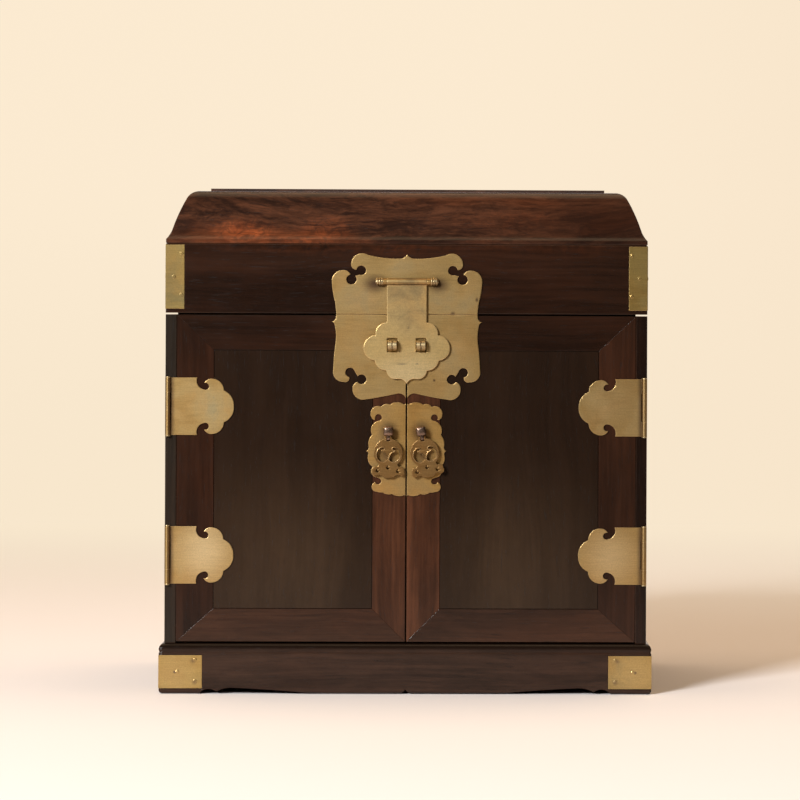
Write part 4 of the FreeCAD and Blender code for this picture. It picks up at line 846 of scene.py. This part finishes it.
# %% Paper material
PAPER_SHADES = ((0.9, 0.83, 0.825, 1), (0.92, 0.85, 0.845, 1))
# Painted light: the wall's emitted colour is paler higher up and darker to the right.
WALL_LOW = (0.939, 0.799, 0.61, 1)
WALL_HIGH = (0.97, 0.825, 0.636, 1)
WALL_RIGHT = (0.93, 0.775, 0.59, 1)

paper_material, paper_tree, paper_shader, paper_place = new_surface("cream_paper")
paper_colour = blended(paper_tree, noise(paper_tree, paper_place, 900, 2, 0.5),
                       *PAPER_SHADES)
paper_tree.links.new(paper_colour, paper_shader.inputs["Base Color"])
paper_shader.inputs["Roughness"].default_value = 0.9
paper_shader.inputs["Specular IOR Level"].default_value = 0.1
across = tree_node(paper_tree, "ShaderNodeSeparateXYZ", {"Vector": paper_place})
wall_colour = blended(paper_tree, ramp(paper_tree, across.outputs["Z"], 0.0, 0.6),
                      WALL_LOW, WALL_HIGH)
wall_colour = blended(paper_tree, ramp(paper_tree, across.outputs["X"], 0.0, 1.2),
                      wall_colour, WALL_RIGHT)
wall = tree_node(paper_tree, "ShaderNodeEmission", {"Color": wall_colour})
paths = tree_node(paper_tree, "ShaderNodeLightPath")
far = times(paper_tree, ramp(paper_tree, across.outputs["Y"], 0.3, 2.2),
            paths.outputs["Is Camera Ray"])
paper_look = tree_node(paper_tree, "ShaderNodeMixShader",
                       {0: far, 1: paper_shader.outputs[0], 2: wall.outputs[0]})
paper_tree.links.new(paper_look.outputs[0],
                     paper_tree.nodes["Material Output"].inputs["Surface"])
paper.data.materials.append(paper_material)
print("paper:", len(paper_tree.nodes), "nodes")

# %% [markdown]
# ## Turning on a lathe
# Rods and knobs are turned: the tool is held at one radius after another while the work
# spins. Here a disc is pulled out along Z station by station and scaled to each radius.
# The piece is then laid in its place, and that place goes into its mesh, so that every
# object ends at the origin, as the CAD parts do. Drawn sizes are in mm from here.

# %% Bench tools
MM = 0.001


def only(*things):
    """Select just these objects, the first as the active one."""
    deselect()
    for thing in things:
        thing.select_set(True)
    bpy.context.view_layer.objects.active = things[0]


def settle(thing, place=(0, 0, 0), turn=(0, 0, 0)):
    """Turn a shape in degrees, lay it in its place in mm, and keep both in its mesh."""
    only(thing)
    thing.rotation_euler = [math.radians(angle) for angle in turn]
    thing.location = Vector(place) * MM
    bpy.ops.object.transform_apply(location=True, rotation=True, scale=True)
    return thing


def clean(thing):
    """Merge doubled points and turn every face outward."""
    only(thing)
    bpy.ops.object.mode_set(mode="EDIT")
    bpy.ops.mesh.select_all(action="SELECT")
    bpy.ops.mesh.remove_doubles(threshold=0.01 * MM)
    bpy.ops.mesh.normals_make_consistent(inside=False)
    bpy.ops.object.mode_set(mode="OBJECT")


def joined(name, things):
    only(*things)
    bpy.ops.object.join()
    whole = bpy.context.object
    whole.name = name
    whole.data.name = name
    return whole


def lathe(name, stations, sides=32):
    """Turn a piece that stands on Z: stations are (height, radius) in mm."""
    deselect()
    first, radius = stations[0]
    bpy.ops.mesh.primitive_circle_add(vertices=sides, radius=radius * MM, fill_type="NGON",
                                      location=(0, 0, first * MM))
    thing = bpy.context.object
    thing.name = name
    bpy.ops.object.transform_apply()
    bpy.ops.object.mode_set(mode="EDIT")
    bpy.ops.mesh.select_mode(type="FACE")
    bpy.ops.mesh.select_all(action="SELECT")
    height = first
    for station, wanted in stations[1:]:
        step = (0, 0, (station - height) * MM)
        bpy.ops.mesh.extrude_region_move(TRANSFORM_OT_translate={"value": step})
        bpy.ops.transform.resize(value=(wanted / radius, wanted / radius, 1),
                                 center_override=(0, 0, station * MM))
        height, radius = station, wanted
    bpy.ops.object.mode_set(mode="OBJECT")
    return thing


print("bench tools: only, settle, clean, joined, lathe")

# %% [markdown]
# ### Finishing a piece
# A finished piece is cleaned, shaded smooth over its rounded edges, given its metal, and
# joined to the body that carries it, in the place of its plain CAD part. Weighted
# normals let wide faces win over the narrow bevels beside them, so flat plates look flat.

# %% Finish tool
SMOOTH_UNDER = 40


def finish_piece(thing, material, body, *stands_for):
    clean(thing)
    bpy.ops.object.shade_smooth_by_angle(angle=math.radians(SMOOTH_UNDER))
    bpy.ops.object.modifier_add(type="WEIGHTED_NORMAL")
    flatter = thing.modifiers[-1]
    flatter.weight, flatter.keep_sharp = 100, True
    bpy.ops.object.modifier_apply(modifier=flatter.name)
    thing.data.materials.clear()
    thing.data.materials.append(material)
    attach(thing, body)
    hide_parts(*stands_for)
    print(f"{thing.name}: {len(thing.data.polygons)} faces on {body}")


print("edges are smoothed under", SMOOTH_UNDER, "degrees")

# %% [markdown]
# ### The hasp's rod
# The hasp swings on a brass rod with turned ends: three bands with grooves between them
# and a small tip. Both ends are cut with the same stations, one way and the other.

# %% Turned rod
ROD_END = ((17.75, 1.35), (17.78, 2.6), (18.0, 2.9), (18.9, 2.9), (19.15, 2.6), (19.2, 2.1),
           (19.5, 2.1), (19.55, 2.6), (19.8, 2.9), (20.6, 2.9), (20.85, 2.6), (20.9, 2.1),
           (21.2, 2.1), (21.25, 2.5), (21.5, 2.75), (22.3, 2.75), (22.7, 2.4), (22.8, 1.5),
           (23.2, 1.4), (23.35, 0.9))
ROD_PLACE = (0, -131, 306.8)
rod = lathe("turned_hasp_rod", [(-x, r) for x, r in reversed(ROD_END)] + list(ROD_END))
settle(rod, ROD_PLACE, (0, 90, 0))
finish_piece(rod, fittings, "lid", "hasp_rod")

# %% [markdown]
# ### Drawer knobs
# The four drawers have small turned knobs on round plates. One is turned; the others are
# copies of it, each with a mesh of its own.

# %% Drawer knobs
KNOB = ((0, 8), (0.5, 8), (0.8, 7.8), (1.0, 7.3), (1.1, 5.2), (1.5, 4.6), (1.7, 3.4),
        (2.2, 2.4), (3.4, 2.0), (4.4, 2.1), (5.0, 2.6), (5.3, 3.1), (5.5, 2.9), (5.7, 3.2),
        (6.3, 3.9), (7.2, 4.4), (8.2, 4.5), (9.1, 4.0), (9.8, 3.1), (10.3, 2.1),
        (10.5, 1.6), (10.8, 1.3), (11.0, 0.6))
KNOB_PLACES = {"upper_left": (-82, 193), "upper_right": (82, 193), "lower_left": (-82, 99),
               "lower_right": (82, 99)}
DRAWER_FRONT = -98.9
model = lathe("knob_model", KNOB)
for drawer, (x, z) in KNOB_PLACES.items():
    knob = model.copy()
    knob.data = model.data.copy()
    bpy.context.scene.collection.objects.link(knob)
    knob.name = f"turned_knob_{drawer}"
    settle(knob, (x, DRAWER_FRONT, z), (90, 0, 0))
    finish_piece(knob, fittings, f"{drawer}_drawer", f"{drawer}_drawer_knob")
bpy.data.objects.remove(model)

# %% [markdown]
# ## Sawn and pierced plates
# A drop pull is sawn out of a thick plate along a drawn line, and its openings are
# pierced. The outer edge is drawn as corners with arcs between them, and the openings
# are smooth loops through a few points.

# %% Outline tools
ARC_STEPS = 7
RING_STEPS = 8


def arc_points(start, through, end):
    """Points on the circle from start through a middle point to the end, in mm."""
    (ax, ay), (bx, by), (cx, cy) = start, through, end
    double = 2 * (ax * (by - cy) + bx * (cy - ay) + cx * (ay - by))
    sa, sb, sc = ax * ax + ay * ay, bx * bx + by * by, cx * cx + cy * cy
    middle = ((sa * (by - cy) + sb * (cy - ay) + sc * (ay - by)) / double,
              (sa * (cx - bx) + sb * (ax - cx) + sc * (bx - ax)) / double)
    radius = math.dist(start, middle)
    angles = [math.atan2(y - middle[1], x - middle[0]) for x, y in (start, through, end)]
    sweep = (angles[2] - angles[0]) % math.tau
    if (angles[1] - angles[0]) % math.tau > sweep:
        sweep -= math.tau
    spots = [angles[0] + sweep * i / ARC_STEPS for i in range(1, ARC_STEPS + 1)]
    return [(middle[0] + radius * math.cos(a), middle[1] + radius * math.sin(a)) for a in spots]


def traced(outline):
    """Corners (x, z), or arcs to (x, z) through another point, as a list of points."""
    points = [outline[0][:2]]
    for corner in outline[1:]:
        if len(corner) == 4:
            points += arc_points(points[-1], corner[2:], corner[:2])
        else:
            points.append(corner)
    return points


def mirrored(points):
    return [(-x, z) for x, z in reversed(points)]


def ring_of(x, z, radius):
    turns = [i * math.tau / RING_STEPS for i in range(RING_STEPS)]
    return [(x + radius * math.cos(turn), z + radius * math.sin(turn)) for turn in turns]


print("points on an arc:", ARC_STEPS)

# %% [markdown]
# ### From a line to a plate
# Blender fills a flat curve between its outline and its openings; extruded and beveled
# it is a plate. The bevel would grow the outline, so the curve is first drawn in by as
# much. Not flat, the same lines become round wires, for rims.

# %% Plate tool
def add_line(curve, kind, points):
    """A closed line through the points: straight for POLY, smooth for BEZIER."""
    line = curve.splines.new(kind)
    smooth = kind == "BEZIER"
    spots = line.bezier_points if smooth else line.points
    spots.add(len(points) - 1)
    for spot, (x, z) in zip(spots, points):
        spot.co = (x * MM, z * MM, 0) if smooth else (x * MM, z * MM, 0, 1)
        if smooth:
            spot.handle_left_type = spot.handle_right_type = "AUTO"
    line.use_cyclic_u = True


def drawn(name, outlines, loops, flat, thickness=0.0, bevel=0.0):
    """A curve in mm, made a mesh: a pierced plate when flat, or else round wires."""
    curve = bpy.data.curves.new(name, "CURVE")
    curve.dimensions = "2D" if flat else "3D"
    curve.fill_mode = "BOTH" if flat else "FULL"
    curve.extrude = (thickness / 2 - bevel) * MM if flat else 0
    curve.bevel_depth = bevel * MM
    curve.bevel_resolution = 2
    curve.offset = -bevel * MM if flat else 0
    curve.resolution_u = 5
    for points in outlines:
        add_line(curve, "POLY", points)
    for points in loops:
        add_line(curve, "BEZIER", points)
    thing = bpy.data.objects.new(name, curve)
    bpy.context.scene.collection.objects.link(thing)
    only(thing)
    bpy.ops.object.convert(target="MESH")
    return bpy.context.object


print("plate tools: add_line, drawn")

# %% [markdown]
# ### Drop pulls
# Each pull is a pierced disc on a scalloped foot. Two comma-shaped openings leave a
# V of metal between them, and thin rims stand up round both. The foot has three small
# crescent-shaped holes. Two ears and a pin hang the pull on its post.

# %% Drop pull
HALF_PULL = ((1.4, -2.4), (1.4, -0.6), (2.8, -0.6), (6.9, -19.6, 10.8, -11.3),
             (9.6, -21.2, 7.8, -21.1), (11.8, -24.2, 11.3, -22.1), (9.4, -28.2, 11.7, -27.2),
             (5.2, -27.9, 7.3, -27.3), (0, -29.4, 2.8, -29.4))
COMMA = [(-4.1, -7.0), (-6.4, -7.6), (-8.1, -9.8), (-8.7, -12.4), (-8.2, -15.0),
         (-6.4, -17.1), (-4.0, -17.9), (-1.8, -17.4), (-0.6, -16.0), (-0.8, -14.2),
         (-1.5, -12.4), (-2.7, -11.0), (-4.2, -10.4), (-5.1, -9.9), (-5.0, -9.3),
         (-4.4, -9.0), (-3.3, -8.7), (-2.9, -7.8), (-3.3, -7.2)]
CRESCENT = ((0.6, 1.4), (-0.5, 1.2), (-1.3, 0.4), (-1.4, -0.6), (-0.8, -1.3), (0.2, -1.5),
            (1.1, -1.1), (1.3, -0.4), (0.7, -0.5), (0.1, -0.3), (-0.2, 0.2), (0.1, 0.8))
CRESCENT_PLACES = ((0, -21.9), (-7.8, -24.2), (7.4, -24.5))
EAR = ((-1.1, -2), (-1.1, 0), (-0.6, 1.6, -1.6, 0.7), (0.6, 1.6, 0, 1.7),
       (1.1, 0, 1.6, 0.7), (1.1, -2))
PULL_PIN = ((-2.75, 0.5), (-2.65, 0.8), (-2.4, 0.9), (-2.4, 0.8), (2.4, 0.8), (2.4, 0.9),
            (2.65, 0.8), (2.75, 0.5))
PULL_THICKNESS, EAR_THICKNESS = 2.0, 1.1


def drop_pull(name):
    """One pull, hanging from its pivot at the origin, with its face towards -Y."""
    half = traced(HALF_PULL)
    outline = mirrored(half[::-1])[:-1] + half[::-1]
    loops = [COMMA, mirrored(COMMA)]
    holes = [[(x + px, z + pz) for px, pz in CRESCENT] for x, z in CRESCENT_PLACES]
    plate = drawn(f"{name}_plate", [outline], loops + holes, True, PULL_THICKNESS, 0.14)
    rims = drawn(f"{name}_rims", [], loops, False, bevel=0.3)
    parts = [settle(plate, (0, 0.1, 0), (90, 0, 0)), settle(rims, (0, -0.85, 0), (90, 0, 0))]
    for way in (-1, 1):
        ear = drawn(f"{name}_ear", [traced(EAR)], [], True, EAR_THICKNESS, 0.2)
        parts.append(settle(settle(ear, turn=(90, 0, 0)), (way * 1.85, 0, 0), (0, 0, 90)))
    pin = lathe(f"{name}_pin", PULL_PIN, 16)
    parts.append(settle(pin, turn=(0, 90, 0)))
    return joined(name, parts)


print("a pull is", -HALF_PULL[-1][1], "mm long below its pivot")

# %% [markdown]
# ### Hanging the pulls
# Each pull hangs 5.2 mm under its post's middle and 3.6 mm before its plate. The right
# one stands turned by ten degrees, post and all, as it has worked loose.

# %% Drop pulls
POSTS = {"left": ((-13.4, 195.8), 0), "right": ((10.9, 195.8), -10)}
PLATE_FRONT = -128.1
PIVOT = (0, -3.6, -5.2)
for side, ((x, z), tilt) in POSTS.items():
    pull = drop_pull(f"pierced_pull_{side}")
    settle(pull, PIVOT)
    settle(pull, (x, PLATE_FRONT, z), (0, tilt, 0))
    finish_piece(pull, copper, f"{side}_drop_pull", f"{side}_drop_pull")

# %% [markdown]
# ### Pull posts
# A post is a forged pin through the door: a round collar, a neck, a square head with
# every edge hammered over, and under it the flat lug that carries the pull. The head
# starts as a block whose edges are beveled; its front is then inset and raised.

# %% Square head
HEAD_SIZE = (7.2 * MM, 4.8 * MM, 7.0 * MM)
HEAD_PLACE = (0, -7.0 * MM, 0)
HAMMERED = 1.7 * MM


def square_head(name):
    deselect()
    bpy.ops.mesh.primitive_cube_add(size=1, location=HEAD_PLACE, scale=HEAD_SIZE)
    head = bpy.context.object
    head.name = name
    bpy.ops.object.transform_apply()
    bpy.ops.object.mode_set(mode="EDIT")
    bpy.ops.mesh.select_all(action="SELECT")
    bpy.ops.mesh.bevel(offset=HAMMERED, segments=4, affect="EDGES")
    bpy.ops.mesh.select_mode(type="FACE")
    bpy.ops.mesh.select_all(action="DESELECT")
    shape = bmesh.from_edit_mesh(head.data)
    for face in shape.faces:
        face.select_set(face.normal.y < -0.99)
    bmesh.update_edit_mesh(head.data)
    bpy.ops.mesh.inset(thickness=0.7 * MM)
    bpy.ops.transform.translate(value=(0, -0.2 * MM, 0))
    bpy.ops.object.mode_set(mode="OBJECT")
    return head


print("a head is", round(HEAD_SIZE[0] / MM, 1), "mm wide")

# %% [markdown]
# ### Neck and lug
# The neck is turned, and the lug is a small plate with the pin's hole through it. Head,
# neck and lug are joined into one piece and set in the door.

# %% Pull posts
NECK = ((0, 3.4), (0.5, 3.4), (0.85, 3.15), (1.0, 2.7), (1.1, 2.0), (1.6, 1.65), (4.0, 1.65),
        (4.6, 2.2), (5.2, 2.4))
LUG = ((-5.5, -5.2), (-3.6, -7.1, -4.94, -6.54), (-1.7, -5.2, -2.26, -6.54), (-1.7, -0.4),
       (-5.5, -0.4))
LUG_HOLE = ring_of(-3.6, -5.2, 0.95)
LUG_THICKNESS = 2.2
for side, ((x, z), tilt) in POSTS.items():
    neck = settle(lathe(f"{side}_neck", NECK, 24), turn=(90, 0, 0))
    lug = drawn(f"{side}_lug", [traced(LUG)], [LUG_HOLE], True, LUG_THICKNESS, 0.25)
    settle(settle(lug, turn=(90, 0, 0)), turn=(0, 0, 90))
    post = joined(f"square_post_{side}", [square_head(f"{side}_head"), neck, lug])
    settle(post, (x, PLATE_FRONT, z), (0, tilt, 0))
    finish_piece(post, dark_metal, f"{side}_door", f"{side}_pull_post")
